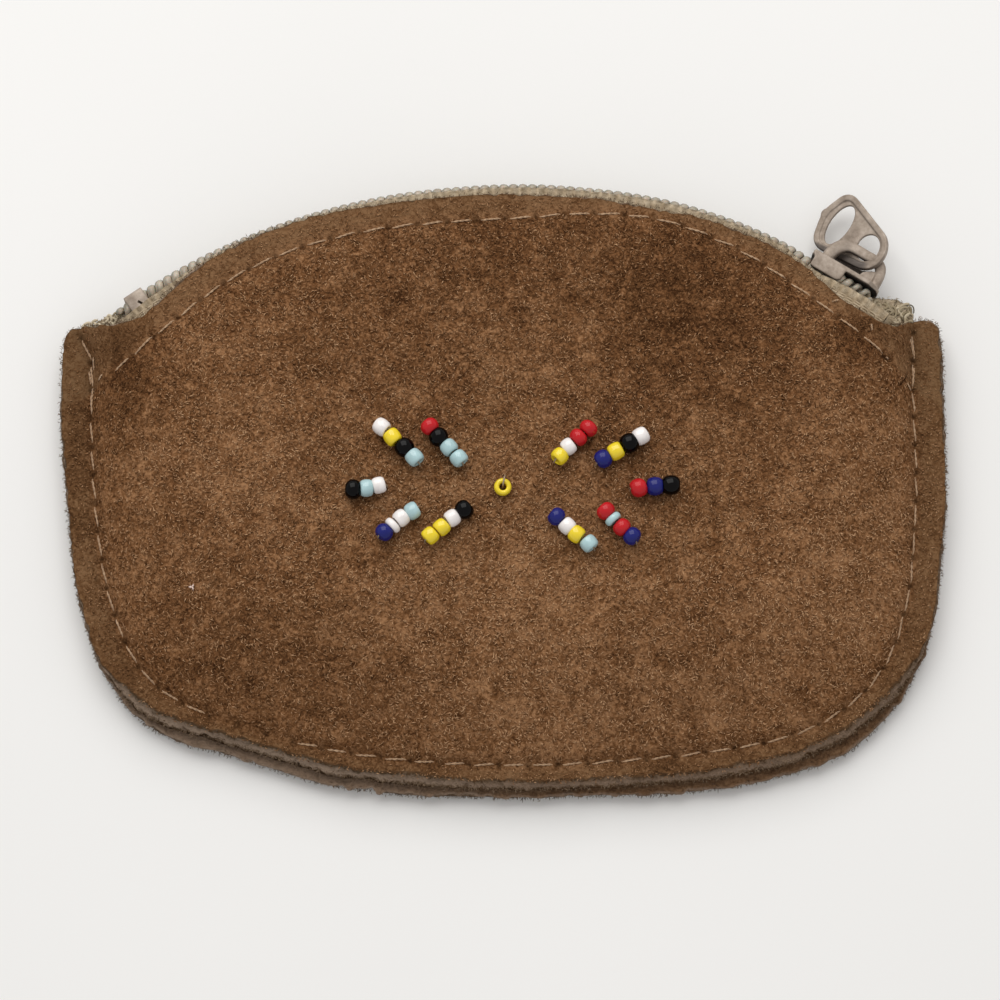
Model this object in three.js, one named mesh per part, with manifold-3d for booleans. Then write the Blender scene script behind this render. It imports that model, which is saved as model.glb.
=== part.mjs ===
// Beaded suede coin purse with a curved coil zip.
// Millimetres, +Z up. The purse lies on its back, with the zip towards +Y.
// The origin is under the middle of the purse, on the plane that it rests on.
import * as THREE from "three";
import { mergeVertices } from "three/addons/utils/BufferGeometryUtils.js";
import Module from "manifold-3d";

const wasm = await Module();
wasm.setup();

// Overall size
const purse_width = 111.4;
const purse_height = 77.7; // from the bottom edge of the back panel to the top of the zip chain

// Leather
const leather = 1.3; // thickness of the suede
const ring_insets = [2.4, 4.8]; // where the panels' faces are divided outside and inside the seam
const seam_margin = 3.6; // from the cut edge to the row of stitches
const seam_gap = 0.3; // between the two panels where they are sewn together
const seam_pinch = 0.3; // how far the stitches pull the suede in
const edge_flare = 0.35; // how far the cut edges spread outside the seam
const edge_lift = 0.9; // how far the rim of the back panel curls up from the table
const edge_lift_width = 9; // width of the curled rim
const back_margin = 1.1; // how much longer the back panel is cut at the bottom
const rise_at_mouth = 6.5; // run over which the front panel rises from the side seams, at the zip
const rise_at_bottom = 26; // the same run at the bottom seam
const ear_height_share = 0.515; // height of the square ears beside the zip, as a share of half the height

// Zip chain
const zip_radius = 79; // radius of the arched zip, at the face of its tape
const coil_height = 1.9;
const coil_half_width = 1.95;
const coil_pitch = 1.18;
const coil_lap = 0.25; // how far each coil reaches past the middle into the other
const coil_clear = 0.2; // play between the two coils
const coil_open = 1.05; // how far each coil stands off the middle past the slider's neck
const tape = 0.45; // thickness of the woven tape
const tape_inner = 1.1; // from the middle of the chain to the edge of the tape
const tape_leg = 9.5; // how far the tape goes down inside the panels
const tape_clear = 0.15; // from the tape to the leather
const mouth_half_gap = 2.9; // from the middle of the chain to the inner face of a panel
const coil_seat = 0.1; // from the tape to the coil

// Where things stand along the zip, as shares of half the width
const stop_share = 0.811;
const slider_share = 0.747;
const coil_left_share = 0.849;
const coil_right_share = 0.832;
const tape_share = 0.858;

// Slider
const slider_length = 9.2;
const slider_plate = 0.8; // thickness of the top and bottom plates
const slider_clear = 0.25; // play around the chain
const slider_flange = 0.5; // thickness of the two flanges
const flange_length = 4.2;
const neck_half_width = 0.7;
const crown_height = 3.45; // from the top plate to the middle of the crown's bar
const crown_feet = [-3.2, 4.0]; // where the crown's two feet stand, from the middle of the slider
const crown_thick = 0.9;
const crown_wide = 0.7;
const crown_seat = 0.1; // from the crown's feet to the plate

// Pull tab
const tab_thick = 0.5;
const tab_rim = 0.1; // how far its rim stands proud of each face
const tab_rim_width = 0.6;
const tab_eye = 1.85; // radius of the round hole that hangs on the crown
const tab_eye_wall = 0.75;
const tab_length = 8.5; // from the middle of the round hole to the tip
const tab_half_width = 3.7;
const tab_corner = 1.6;
const tab_slot = [1.2, 2.5]; // half the short way and half the long way of the oval hole
const tab_tilt = 25; // degrees that the tip hangs down towards the table
const tab_turn = 16; // degrees that the tab stands up from the line of the zip
const tab_drop = 0.65; // from the crown's bar to the middle of the round hole
const tab_along = 0.7; // where the tab hangs along the crown, from the middle of the slider

// Bottom stop
const stop_length = 2.6;
const stop_wall = 0.4;
const stop_clear = 0.12;

// Threads
const stitch_pitch = 3.6;
const thread_radius = 0.18;
const thread_seat = 0.1; // from a thread to the leather that it lies on
const thread_rise = 0.14; // how far the middle of a stitch stands up
const bead_thread_radius = 0.16;
const needle_hole = 0.9;

// Beads
const bead_diameter = 2.2;
const bead_bore = 0.42; // radius of the hole
const bead_gap = 0.08;
const bead_seat = 0.1; // from a bead to the suede

const half_width = purse_width / 2;
const half_height = purse_height / 2;
const ear_y = ear_height_share * half_height;
const zip_centre_y = half_height - coil_height - coil_seat - zip_radius;
const zip_z = edge_lift + leather + mouth_half_gap;
const mouth_rise = 2 * mouth_half_gap - seam_gap;

// Small tools

const clamp = (v, low, high) => Math.min(Math.max(v, low), high);
const smooth = (t) => clamp(t, 0, 1) ** 2 * (3 - 2 * clamp(t, 0, 1));
const radians = (degrees) => (degrees * Math.PI) / 180;
const zipAngle = (share) => Math.asin((share * half_width) / zip_radius);

// A point beside the zip: angle clockwise from the top of the arch, height above the tape, and z.
function onZip(angle, above, z) {
  const r = zip_radius + above;
  return new THREE.Vector3(r * Math.sin(angle), zip_centre_y + r * Math.cos(angle), z);
}

function meshData(geometry) {
  const bare = geometry.clone();
  bare.deleteAttribute("normal");
  bare.deleteAttribute("uv");
  return mergeVertices(bare, 1e-4);
}

function toSolid(geometry) {
  const g = meshData(geometry);
  const triVerts = new Uint32Array(g.index.array);
  return new wasm.Manifold(new wasm.Mesh({ numProp: 3, vertProperties: g.attributes.position.array, triVerts }));
}

function toGeometry(solid) {
  const m = solid.getMesh();
  const g = new THREE.BufferGeometry();
  g.setAttribute("position", new THREE.BufferAttribute(new Float32Array(m.vertProperties), 3));
  g.setIndex(new THREE.BufferAttribute(new Uint32Array(m.triVerts), 1));
  return g;
}

const joined = (...shapes) => toGeometry(shapes.map(toSolid).reduce((a, b) => a.add(b)));

// Triangles to a geometry, turned to face outwards.
function facingOut(points, triangles) {
  let volume = 0;
  for (const [a, b, c] of triangles) {
    volume += points[a].dot(new THREE.Vector3().crossVectors(points[b], points[c]));
  }
  const turned = volume < 0 ? triangles.map(([a, b, c]) => [a, c, b]) : triangles;
  const g = new THREE.BufferGeometry().setFromPoints(points);
  g.setIndex(turned.flat());
  return g;
}

// A closed body through a row of rings that have the same number of points.
function throughRings(rings) {
  const n = rings[0].length;
  const points = rings.flat();
  const triangles = [];
  for (let r = 0; r + 1 < rings.length; r++) {
    for (let i = 0; i < n; i++) {
      const a = r * n + i;
      const b = r * n + ((i + 1) % n);
      triangles.push([a, b, b + n], [a, b + n, a + n]);
    }
  }
  const last = (rings.length - 1) * n;
  for (let i = 1; i + 1 < n; i++) {
    triangles.push([0, i + 1, i], [last, last + i, last + i + 1]);
  }
  return facingOut(points, triangles);
}

// A thread of a few sides along a row of points.
function threadAlong(path, radius, sides) {
  const side = new THREE.Vector3(0.6, 0.8, 0);
  const rings = path.map((p, k) => {
    const before = path[Math.max(k - 1, 0)];
    const after = path[Math.min(k + 1, path.length - 1)];
    const along = after.clone().sub(before).normalize();
    side.addScaledVector(along, -side.dot(along)).normalize();
    const over = new THREE.Vector3().crossVectors(along, side);
    return Array.from({ length: sides }, (_, i) => {
      const turn = (2 * Math.PI * (i + 0.5)) / sides;
      const across = side.clone().multiplyScalar(radius * Math.cos(turn));
      return p.clone().add(across).addScaledVector(over, radius * Math.sin(turn));
    });
  });
  return throughRings(rings);
}

// Outline of a panel

// Sides and bottom of the front panel, from the left ear round to the right one.
// Shares of half the width and half the height.
const lower_edge = [
  [-0.996, 0.44],
  [-0.993, 0.15],
  [-0.955, -0.24],
  [-0.905, -0.53],
  [-0.825, -0.705],
  [-0.7, -0.785],
  [-0.5, -0.866],
  [-0.27, -0.94],
  [0.02, -0.972],
  [0.33, -0.955],
  [0.57, -0.912],
  [0.75, -0.815],
  [0.87, -0.685],
  [0.945, -0.48],
  [0.984, -0.18],
  [0.996, 0.1],
  [0.991, 0.44],
];

function lowerCurve(longer) {
  const points = lower_edge.map(([u, v]) => {
    const down = longer * smooth(-v / 0.7);
    return new THREE.Vector3(u * half_width, v * half_height - down, 0);
  });
  return new THREE.CatmullRomCurve3(points, false, "centripetal");
}

// Right ear, top arch, left ear, then the sides and bottom.
function outlineOf(longer) {
  const arch = zipAngle(0.7);
  const points = [];
  const ear = [
    [0.978, ear_y - 0.35],
    [0.94, ear_y],
    [0.85, ear_y + 0.2],
    [0.797, ear_y + 1.9],
  ];
  for (const [u, y] of ear) points.push(new THREE.Vector2(u * half_width, y));
  const steps = 16;
  for (let i = 0; i <= steps; i++) {
    const p = onZip(arch * (1 - (2 * i) / steps), -0.1, 0);
    points.push(new THREE.Vector2(p.x, p.y));
  }
  for (const [u, y] of [...ear].reverse()) points.push(new THREE.Vector2(-u * half_width, y));
  for (const p of lowerCurve(longer).getSpacedPoints(33)) points.push(new THREE.Vector2(p.x, p.y));
  return points;
}

// The way in from each point of a closed outline, smoothed so that corners don't fold over.
function waysIn(outline) {
  const n = outline.length;
  const reach = 9;
  const edges = outline.map((p, i) => {
    const q = outline[(i + 1) % n];
    const d = q.clone().sub(p);
    return { mid: p.clone().add(q).multiplyScalar(0.5), normal: new THREE.Vector2(-d.y, d.x) };
  });
  return outline.map((p) => {
    const way = new THREE.Vector2();
    for (const e of edges) way.addScaledVector(e.normal, Math.max(0, 1 - e.mid.distanceTo(p) / reach));
    return way.normalize();
  });
}

// Shape of the panels

const seam_line = (() => {
  const curve = lowerCurve(0);
  const points = [];
  for (let i = 0; i <= 120; i++) {
    const p = curve.getPointAt(i / 120);
    const t = curve.getTangentAt(i / 120);
    points.push(new THREE.Vector2(p.x - t.y * seam_margin, p.y + t.x * seam_margin));
  }
  const first = points[0];
  const last = points[points.length - 1];
  points.unshift(new THREE.Vector2(first.x, ear_y - 0.8));
  points.push(new THREE.Vector2(last.x, ear_y - 0.8));
  return points;
})();

// Distance from the side and bottom seam, above zero inside the purse.
function fromSeam(x, y) {
  let best = Infinity;
  let sign = 1;
  for (let i = 0; i + 1 < seam_line.length; i++) {
    const a = seam_line[i];
    const d = seam_line[i + 1].clone().sub(a);
    const open = i === 0 || i + 2 === seam_line.length ? 9 : 1; // the ends run on up through the ears
    const t = clamp(((x - a.x) * d.x + (y - a.y) * d.y) / d.lengthSq(), i === 0 ? -open : 0, open);
    const far = Math.hypot(x - a.x - t * d.x, y - a.y - t * d.y);
    if (far < best) {
      best = far;
      sign = d.x * (y - a.y) - d.y * (x - a.x) > 0 ? 1 : -1;
    }
  }
  return sign * best;
}

const fromArch = (x, y) => zip_radius - 0.1 - Math.hypot(x, y - zip_centre_y);
const zip_seam_depth = seam_margin - 0.1;

function pinch(x, y) {
  const width = 1.2;
  const side = 1 - Math.abs(fromSeam(x, y)) / width;
  const top = 1 - Math.abs(fromArch(x, y) - zip_seam_depth) / width;
  return seam_pinch * Math.max(0, side, top);
}

function rise(x, y) {
  const low = clamp((ear_y - y) / (ear_y + half_height), 0, 1);
  const run = THREE.MathUtils.lerp(rise_at_mouth, rise_at_bottom, low);
  const share = clamp(fromSeam(x, y) / run, 0, 1);
  return mouth_rise * (1 - (1 - share) ** 2);
}

const flare = (x, y) => edge_flare * clamp(-fromSeam(x, y) / seam_margin, 0, 1);
const curl = (x, y) => edge_lift * (1 - smooth(Math.min(fromSeam(x, y) + seam_margin, fromArch(x, y)) / edge_lift_width));

const frontInner = (x, y) => edge_lift + leather + seam_gap + rise(x, y) + flare(x, y);
const frontOuter = (x, y) => frontInner(x, y) + leather - pinch(x, y);
const backInner = (x, y) => leather + curl(x, y) - flare(x, y);
const backOuter = (x, y) => backInner(x, y) - leather + pinch(x, y);

// One face of a panel: rings of points from the edge to the middle.
function faceRings(outline, ways, insets, shares, height) {
  const middle = new THREE.Vector2(0, -0.08 * half_height);
  const flat = insets.map((d) => outline.map((p, i) => p.clone().addScaledVector(ways[i], d)));
  const inner = flat[flat.length - 1];
  for (const share of shares) flat.push(inner.map((p) => middle.clone().lerp(p, share)));
  const rings = flat.map((ring) => ring.map((p) => new THREE.Vector3(p.x, p.y, height(p.x, p.y))));
  return { rings, middle: new THREE.Vector3(middle.x, middle.y, height(middle.x, middle.y)) };
}

function faceTriangles(face, start) {
  const n = face.rings[0].length;
  const triangles = [];
  for (let r = 0; r + 1 < face.rings.length; r++) {
    for (let i = 0; i < n; i++) {
      const a = start + r * n + i;
      const b = start + r * n + ((i + 1) % n);
      triangles.push([a, b, b + n], [a, b + n, a + n]);
    }
  }
  const last = start + (face.rings.length - 1) * n;
  const middle = start + face.rings.length * n;
  for (let i = 0; i < n; i++) triangles.push([last + i, last + ((i + 1) % n), middle]);
  return triangles;
}

// A panel as a closed sheet of leather, with its two faces kept for what lies on them.
function panel(longer, outer, inner) {
  const outline = outlineOf(longer);
  const ways = waysIn(outline);
  const n = outline.length;
  const outside = faceRings(outline, ways, [0, ring_insets[0], seam_margin, ring_insets[1]], [0.85, 0.5], outer);
  const inside = faceRings(outline, ways, [0, ring_insets[1]], [0.85, 0.5], inner);
  const outer_points = [...outside.rings.flat(), outside.middle];
  const inner_points = [...inside.rings.flat(), inside.middle];
  const start = outer_points.length;
  const outer_faces = faceTriangles(outside, 0);
  const inner_faces = faceTriangles(inside, start);
  const points = [...outer_points, ...inner_points];
  const edge = [];
  for (let i = 0; i < n; i++) {
    const j = (i + 1) % n;
    edge.push([i, start + i, start + j], [i, start + j, j]);
  }
  const turned = inner_faces.map(([a, b, c]) => [a, c, b]);
  const geometry = facingOut(points, [...outer_faces, ...turned, ...edge]);
  const pick = (faces) => faces.map((f) => f.map((i) => points[i]));
  return { geometry, outside: pick(outer_faces), inside: pick(inner_faces) };
}

// Height of a face over a point, from its triangles.
function heightOn(faces, x, y) {
  for (const [a, b, c] of faces) {
    const area = (b.x - a.x) * (c.y - a.y) - (c.x - a.x) * (b.y - a.y);
    const u = ((b.x - x) * (c.y - y) - (c.x - x) * (b.y - y)) / area;
    const v = ((c.x - x) * (a.y - y) - (a.x - x) * (c.y - y)) / area;
    const w = 1 - u - v;
    if (Math.min(u, v, w) > -1e-6) return u * a.z + v * b.z + w * c.z;
  }
  return null;
}

const front = panel(0, frontOuter, frontInner);
const back = panel(back_margin, backOuter, backInner);

// Zip tapes: a flat strip under the coil, folded down inside the panel

// From the middle of the chain to the outside of the folded tape, at three depths down the panel.
function tapeWidths(side, faces, angle) {
  const stretches = [
    [0, 3.4],
    [3.4, 0.6 * tape_leg],
    [0.6 * tape_leg, tape_leg],
  ];
  return stretches.map(([from, to]) => {
    let least = mouth_half_gap;
    for (let i = 0; i <= 4; i++) {
      const p = onZip(angle, -THREE.MathUtils.lerp(from, to, i / 4), 0);
      const z = heightOn(faces, p.x, p.y);
      if (z !== null) least = Math.min(least, side * (z - zip_z));
    }
    return least - tape_clear;
  });
}

function tapeOn(side, faces) {
  const steps = 40;
  const end = zipAngle(tape_share);
  const rings = [];
  for (let i = 0; i <= steps; i++) {
    const angle = end * ((2 * i) / steps - 1);
    const [fold, middle, low] = tapeWidths(side, faces, angle);
    const inner = Math.min(tape_inner, fold - 2 * tape);
    const section = [
      [inner, 0],
      [fold, 0],
      [middle, -0.45 * tape_leg],
      [low, -tape_leg],
      [low - tape, -tape_leg],
      [middle - tape, -0.45 * tape_leg],
      [fold - tape, -tape],
      [inner, -tape],
    ];
    rings.push(section.map(([wide, above]) => onZip(angle, above, zip_z + side * wide)));
  }
  return throughRings(rings);
}

// Zip coils: ridged rails that mesh with each other up to the slider's neck

const slider_angle = zipAngle(slider_share);
const neck_angle = slider_angle + 0.3 / zip_radius;

function coilOn(side) {
  const start = -zipAngle(coil_left_share);
  const end = zipAngle(coil_right_share);
  const turns = Math.floor(((end - start) * zip_radius) / coil_pitch);
  const rings = [];
  for (let i = 0; i <= 2 * turns; i++) {
    const angle = start + (i * coil_pitch) / (2 * zip_radius);
    const tooth = (i + (side > 0 ? 0 : 1)) % 2 === 0;
    const open = smooth(((angle - neck_angle) * zip_radius + 2.4) / 2.2);
    const closed_inner = tooth ? -coil_lap : coil_lap + coil_clear;
    const inner = THREE.MathUtils.lerp(closed_inner, coil_open + (tooth ? 0 : 0.25), open);
    const outer = coil_half_width - (tooth ? 0 : 0.22) + 0.3 * open;
    const top = coil_seat + coil_height - (tooth ? 0 : 0.3);
    const section = [
      [inner, coil_seat],
      [outer, coil_seat],
      [outer - 0.3, top],
      [inner, top],
    ];
    rings.push(section.map(([wide, above]) => onZip(angle, above, zip_z + side * wide)));
  }
  return throughRings(rings);
}

// Bottom stop: a bent clip over both coils

function bottomStop() {
  const low = 0.25;
  const high = coil_seat + coil_height + stop_clear;
  const wide = coil_half_width + stop_clear;
  const shape = new THREE.Shape();
  shape.moveTo(-wide - stop_wall, low);
  shape.lineTo(-wide, low);
  shape.lineTo(-wide, high);
  shape.lineTo(wide, high);
  shape.lineTo(wide, low);
  shape.lineTo(wide + stop_wall, low);
  shape.lineTo(wide + stop_wall, high + 0.15);
  shape.lineTo(wide + 0.1, high + stop_wall);
  shape.lineTo(-wide - 0.1, high + stop_wall);
  shape.lineTo(-wide - stop_wall, high + 0.15);
  const g = new THREE.ExtrudeGeometry(shape, { depth: stop_length, bevelEnabled: false });
  g.translate(0, 0, -stop_length / 2);
  g.rotateY(Math.PI / 2);
  return g;
}

// Slider: x runs along the zip away from the stop, y out of the chain, z across it

const plate_low = coil_seat + coil_height + slider_clear;
const plate_top = plate_low + slider_plate;
const flange_inner = coil_half_width + slider_clear;
const bar_height = plate_top + crown_height;

function flatPlate(outline, low, thick) {
  const shape = new THREE.Shape(outline.map(([x, y]) => new THREE.Vector2(x, y)));
  const g = new THREE.ExtrudeGeometry(shape, { depth: thick, bevelEnabled: false });
  g.rotateX(-Math.PI / 2);
  g.translate(0, low, 0);
  return g;
}

function sliderBody() {
  const rear = -slider_length / 2;
  const nose = slider_length / 2;
  const wide = flange_inner + slider_flange;
  const half = [
    [rear, wide - 0.5],
    [rear + 0.5, wide],
    [nose - 3, wide + 0.25],
    [nose - 1, wide - 0.5],
    [nose, 0.9],
  ];
  const mirrored = half.map(([x, y]) => [x, -y]);
  const top = flatPlate([...mirrored, ...[...half].reverse()], plate_low, slider_plate);
  const under = -tape - slider_clear - slider_plate;
  const low_half = [
    [rear + 0.9, 1.2],
    [rear + 1.5, 1.7],
    [1.2, 1.7],
    [2.6, 1],
  ];
  const low_mirrored = low_half.map(([x, y]) => [x, -y]);
  const bottom = flatPlate([...low_mirrored, ...[...low_half].reverse()], under, slider_plate);
  const neck = new THREE.BoxGeometry(1.5, plate_low - under, 2 * neck_half_width);
  neck.translate(1.5, (plate_low + under) / 2 + 0.2, 0);
  const flange_low = coil_seat + 0.3;
  const side = new THREE.Shape();
  side.moveTo(rear + 0.3, flange_low);
  side.lineTo(rear + flange_length - 1, flange_low);
  side.absarc(rear + flange_length - 1, flange_low + 1, 1, -Math.PI / 2, 0, false);
  side.lineTo(rear + flange_length, plate_low + 0.3);
  side.lineTo(rear + 0.3, plate_low + 0.3);
  const flange = (z) => {
    const g = new THREE.ExtrudeGeometry(side, { depth: slider_flange, bevelEnabled: false, curveSegments: 5 });
    return g.translate(0, 0, z);
  };
  return joined(top, bottom, neck, flange(flange_inner), flange(-flange_inner - slider_flange));
}

// Crown: a bent bar on the top plate that the pull tab hangs on
function sliderCrown() {
  const [left, right] = crown_feet;
  const line = [
    [left, plate_top + crown_seat],
    [left + 0.15, bar_height - 1.6],
    [left + 0.75, bar_height - 0.55],
    [left + 1.9, bar_height],
    [right - 0.9, bar_height],
    [right - 0.3, bar_height - 0.3],
    [right, bar_height - 1],
    [right, plate_top + crown_seat],
  ];
  const sides = 8;
  const rings = line.map(([x, y], k) => {
    const [x0, y0] = line[Math.max(k - 1, 0)];
    const [x1, y1] = line[Math.min(k + 1, line.length - 1)];
    const along = new THREE.Vector2(x1 - x0, y1 - y0).normalize();
    return Array.from({ length: sides }, (_, i) => {
      const turn = (2 * Math.PI * (i + 0.5)) / sides;
      const out = (crown_thick / 2) * Math.cos(turn);
      return new THREE.Vector3(x - along.y * out, y + along.x * out, (crown_wide / 2) * Math.sin(turn));
    });
  });
  return throughRings(rings);
}

// Pull tab: x runs from its round hole to its tip

function tabOutline(inset) {
  const eye = tab_eye + tab_eye_wall - inset;
  const corner = tab_corner - inset;
  const cx = tab_length - 0.35 - tab_corner;
  const cy = tab_half_width - tab_corner;
  const lean = Math.atan2(cy, cx) + Math.acos((eye - corner) / Math.hypot(cx, cy));
  const shape = new THREE.Shape();
  shape.absarc(0, 0, eye, lean, 2 * Math.PI - lean, false);
  shape.absarc(cx, -cy, corner, -lean, -0.15, false);
  shape.lineTo(tab_length - inset, 0);
  shape.absarc(cx, cy, corner, 0.15, lean, false);
  return shape;
}

function pullTab() {
  const settings = (depth) => ({ depth, bevelEnabled: false, curveSegments: 7 });
  const web = tabOutline(0);
  const eye_hole = new THREE.Path().absarc(0, 0, tab_eye, 0, 2 * Math.PI, true);
  const slot_x = tab_length - 1.35 - tab_slot[0];
  const slot_hole = new THREE.Path().absellipse(slot_x, 0, tab_slot[0], tab_slot[1], 0, 2 * Math.PI, true);
  web.holes.push(eye_hole, slot_hole);
  const plate = new THREE.ExtrudeGeometry(web, settings(tab_thick)).translate(0, 0, -tab_thick / 2);
  const rim_thick = tab_thick + 2 * tab_rim;
  const edge = tabOutline(0);
  edge.holes.push(tabOutline(tab_rim_width));
  const rim = new THREE.ExtrudeGeometry(edge, settings(rim_thick)).translate(0, 0, -rim_thick / 2);
  return joined(plate, rim);
}

// Threads of the seams

function evenSteps(points, step) {
  const lengths = [0];
  for (let i = 1; i < points.length; i++) lengths.push(lengths[i - 1] + points[i].distanceTo(points[i - 1]));
  const total = lengths[lengths.length - 1];
  const count = Math.round(total / step);
  const out = [];
  let k = 0;
  for (let i = 0; i <= count; i++) {
    const at = (total * i) / count;
    while (k + 2 < points.length && lengths[k + 1] < at) k++;
    const t = clamp((at - lengths[k]) / (lengths[k + 1] - lengths[k]), 0, 1);
    out.push(points[k].clone().lerp(points[k + 1], t));
  }
  return out;
}

// A row of stitches: low at the needle holes and raised between them. Way is 1 on top of a face, -1 under it.
function stitches(line, faces, way) {
  const around = [
    [0, 0],
    [0.4, 0],
    [-0.4, 0],
    [0, 0.4],
    [0, -0.4],
  ];
  const path = evenSteps(line, stitch_pitch / 2).map((p, i) => {
    const off = thread_seat + thread_radius + (i % 2 === 0 ? 0 : thread_rise);
    const heights = around.map(([dx, dy]) => heightOn(faces, p.x + dx, p.y + dy)).filter((z) => z !== null);
    return new THREE.Vector3(p.x, p.y, way * (Math.max(...heights.map((z) => way * z)) + off));
  });
  return threadAlong(path, thread_radius, 3);
}

const side_seam_line = evenSteps(seam_line, 1).slice(1, -1);
const zip_seam_line = Array.from({ length: 61 }, (_, i) => {
  const p = onZip(zipAngle(0.87) * (i / 30 - 1), -zip_seam_depth, 0);
  return new THREE.Vector2(p.x, p.y);
});

// The bobbin row of a zip seam lies inside the purse, on the tape.
function bobbin(side, faces) {
  const end = zipAngle(0.8);
  const count = Math.round((2 * end * zip_radius) / stitch_pitch);
  const path = Array.from({ length: count + 1 }, (_, i) => {
    const angle = end * ((2 * i) / count - 1);
    const [fold, middle] = tapeWidths(side, faces, angle);
    const wide = Math.min(fold, middle) - tape - thread_radius - 2 * thread_seat;
    return onZip(angle, -zip_seam_depth, zip_z + side * wide);
  });
  return threadAlong(path, thread_radius, 3);
}

// Beads

const glass = {
  white: 0xf1e9e2,
  yellow: 0xe9cf2a,
  black: 0x0c090b,
  paleblue: 0xa5c8cf,
  red: 0xae1f2b,
  darkblue: 0x171b6b,
};

// Each strand has the middles of its first and last bead, then colour and relative length of each bead.
const strands = [
  ["i", [6.6, -5.0], [10.6, -8.5], ["darkblue", 1], ["white", 1], ["yellow", 1], ["paleblue", 1]],
  ["j", [15.9, -7.6], [12.7, -4.3], ["darkblue", 1], ["red", 1], ["paleblue", 0.6], ["red", 1]],
  ["h", [16.8, -1.4], [20.7, -1.2], ["red", 1], ["darkblue", 1], ["black", 1]],
  ["g", [17.1, 5.1], [12.4, 2.2], ["white", 1], ["black", 1], ["yellow", 1], ["darkblue", 1]],
  ["f", [10.5, 6.0], [7.0, 2.5], ["red", 1], ["red", 1], ["white", 1], ["yellow", 1]],
  ["k", [0.1, -1.35], [0.1, -1.35], ["yellow", 1]],
  ["b", [-5.4, 2.3], [-9.1, 6.3], ["paleblue", 1], ["paleblue", 1], ["black", 1], ["red", 1]],
  ["a", [-14.8, 6.3], [-10.8, 2.3], ["white", 1], ["yellow", 1], ["black", 1], ["paleblue", 1]],
  ["c", [-15.0, -1.2], [-18.3, -1.6], ["white", 1], ["paleblue", 1], ["black", 1]],
  ["d", [-14.4, -7.0], [-10.9, -4.3], ["darkblue", 1], ["white", 0.6], ["white", 1], ["paleblue", 1]],
  ["e", [-8.7, -7.5], [-4.6, -4.2], ["yellow", 1], ["yellow", 1], ["white", 1], ["black", 1]],
];

function bead(long) {
  const r = bead_diameter / 2;
  const h = long / 2;
  const profile = [
    [bead_bore, -0.72 * h],
    [0.74 * r, -h],
    [r, 0],
    [0.74 * r, h],
    [bead_bore, 0.72 * h],
    [bead_bore, -0.72 * h],
  ];
  return new THREE.LatheGeometry(profile.map(([x, y]) => new THREE.Vector2(x, y)), 8);
}

const beads = [];
const bead_path = [];
const needle_points = [];

function needleDown(x, y, down) {
  const high = new THREE.Vector3(x, y, heightOn(front.outside, x, y) + 0.3);
  const low = new THREE.Vector3(x, y, heightOn(front.inside, x, y) - 0.35);
  needle_points.push([x, y]);
  bead_path.push(...(down ? [high, low] : [low, high]));
}

// The strand that lies flat: one bead with its hole upright, held by a thread over its rim.
function flatBead(name, x, y, colour) {
  const long = 1.6;
  const low = heightOn(front.outside, x, y) + bead_seat;
  const g = bead(long).rotateX(Math.PI / 2).translate(x, y, low + long / 2);
  beads.push(["bead_" + name + "1_" + colour, g, colour]);
  const over = low + long + 0.35;
  const out = y + bead_diameter / 2 + 0.5;
  needle_points.push([x, y]);
  bead_path.push(new THREE.Vector3(x, y, heightOn(front.inside, x, y) - 0.35));
  bead_path.push(new THREE.Vector3(x, y, over - 0.2));
  bead_path.push(new THREE.Vector3(x, y + 0.4, over));
  bead_path.push(new THREE.Vector3(x, out - 0.2, over - 0.3));
  needleDown(x, out, true);
}

function laidStrand(name, from, to, list) {
  const a = new THREE.Vector2(...from);
  const b = new THREE.Vector2(...to);
  const way = b.clone().sub(a).normalize();
  let between = 0;
  for (let i = 0; i + 1 < list.length; i++) between += (list[i][1] + list[i + 1][1]) / 2;
  const unit = a.distanceTo(b) / between;
  const first = a.clone().addScaledVector(way, -(unit * list[0][1]) / 2);
  const last = b.clone().addScaledVector(way, (unit * list[list.length - 1][1]) / 2);
  const level = (p) => heightOn(front.outside, p.x, p.y) + bead_seat + bead_diameter / 2;
  const start = first.clone().addScaledVector(way, -0.75);
  const end = last.clone().addScaledVector(way, 0.75);
  needleDown(start.x, start.y, false);
  bead_path.push(new THREE.Vector3(first.x, first.y, level(first)));
  bead_path.push(new THREE.Vector3(last.x, last.y, level(last)));
  needleDown(end.x, end.y, true);
  let at = 0;
  list.forEach(([colour, size], i) => {
    const p = first.clone().addScaledVector(way, (at + size / 2) * unit);
    at += size;
    const g = bead(unit * size - bead_gap);
    g.rotateZ(Math.atan2(way.y, way.x) - Math.PI / 2).translate(p.x, p.y, level(p));
    beads.push(["bead_" + name + (i + 1) + "_" + colour, g, colour]);
  });
}

for (const [name, from, to, ...list] of strands) {
  if (list.length === 1) flatBead(name, ...from, list[0][0]);
  else laidStrand(name, from, to, list);
}

// Needle holes of the bead thread, cut through the front panel

function needleHoles(geometry) {
  let solid = toSolid(geometry);
  for (const [x, y] of needle_points) {
    const z = heightOn(front.outside, x, y) - leather / 2;
    const pin = new THREE.CylinderGeometry(needle_hole / 2, needle_hole / 2, 3 * leather, 5);
    solid = solid.subtract(toSolid(pin.rotateX(Math.PI / 2).translate(x, y, z)));
  }
  return toGeometry(solid);
}

// The part

const root = new THREE.Group();

function add(parent, name, geometry, colour, roughness, metalness) {
  const material = new THREE.MeshStandardMaterial({ color: colour, roughness, metalness });
  const mesh = new THREE.Mesh(geometry, material);
  mesh.name = name;
  parent.add(mesh);
}

const suede = 0x75512f;
const woven = 0xc4b797;
const pewter = 0x9e8f87;
const linen = 0xc9a283;

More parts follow.
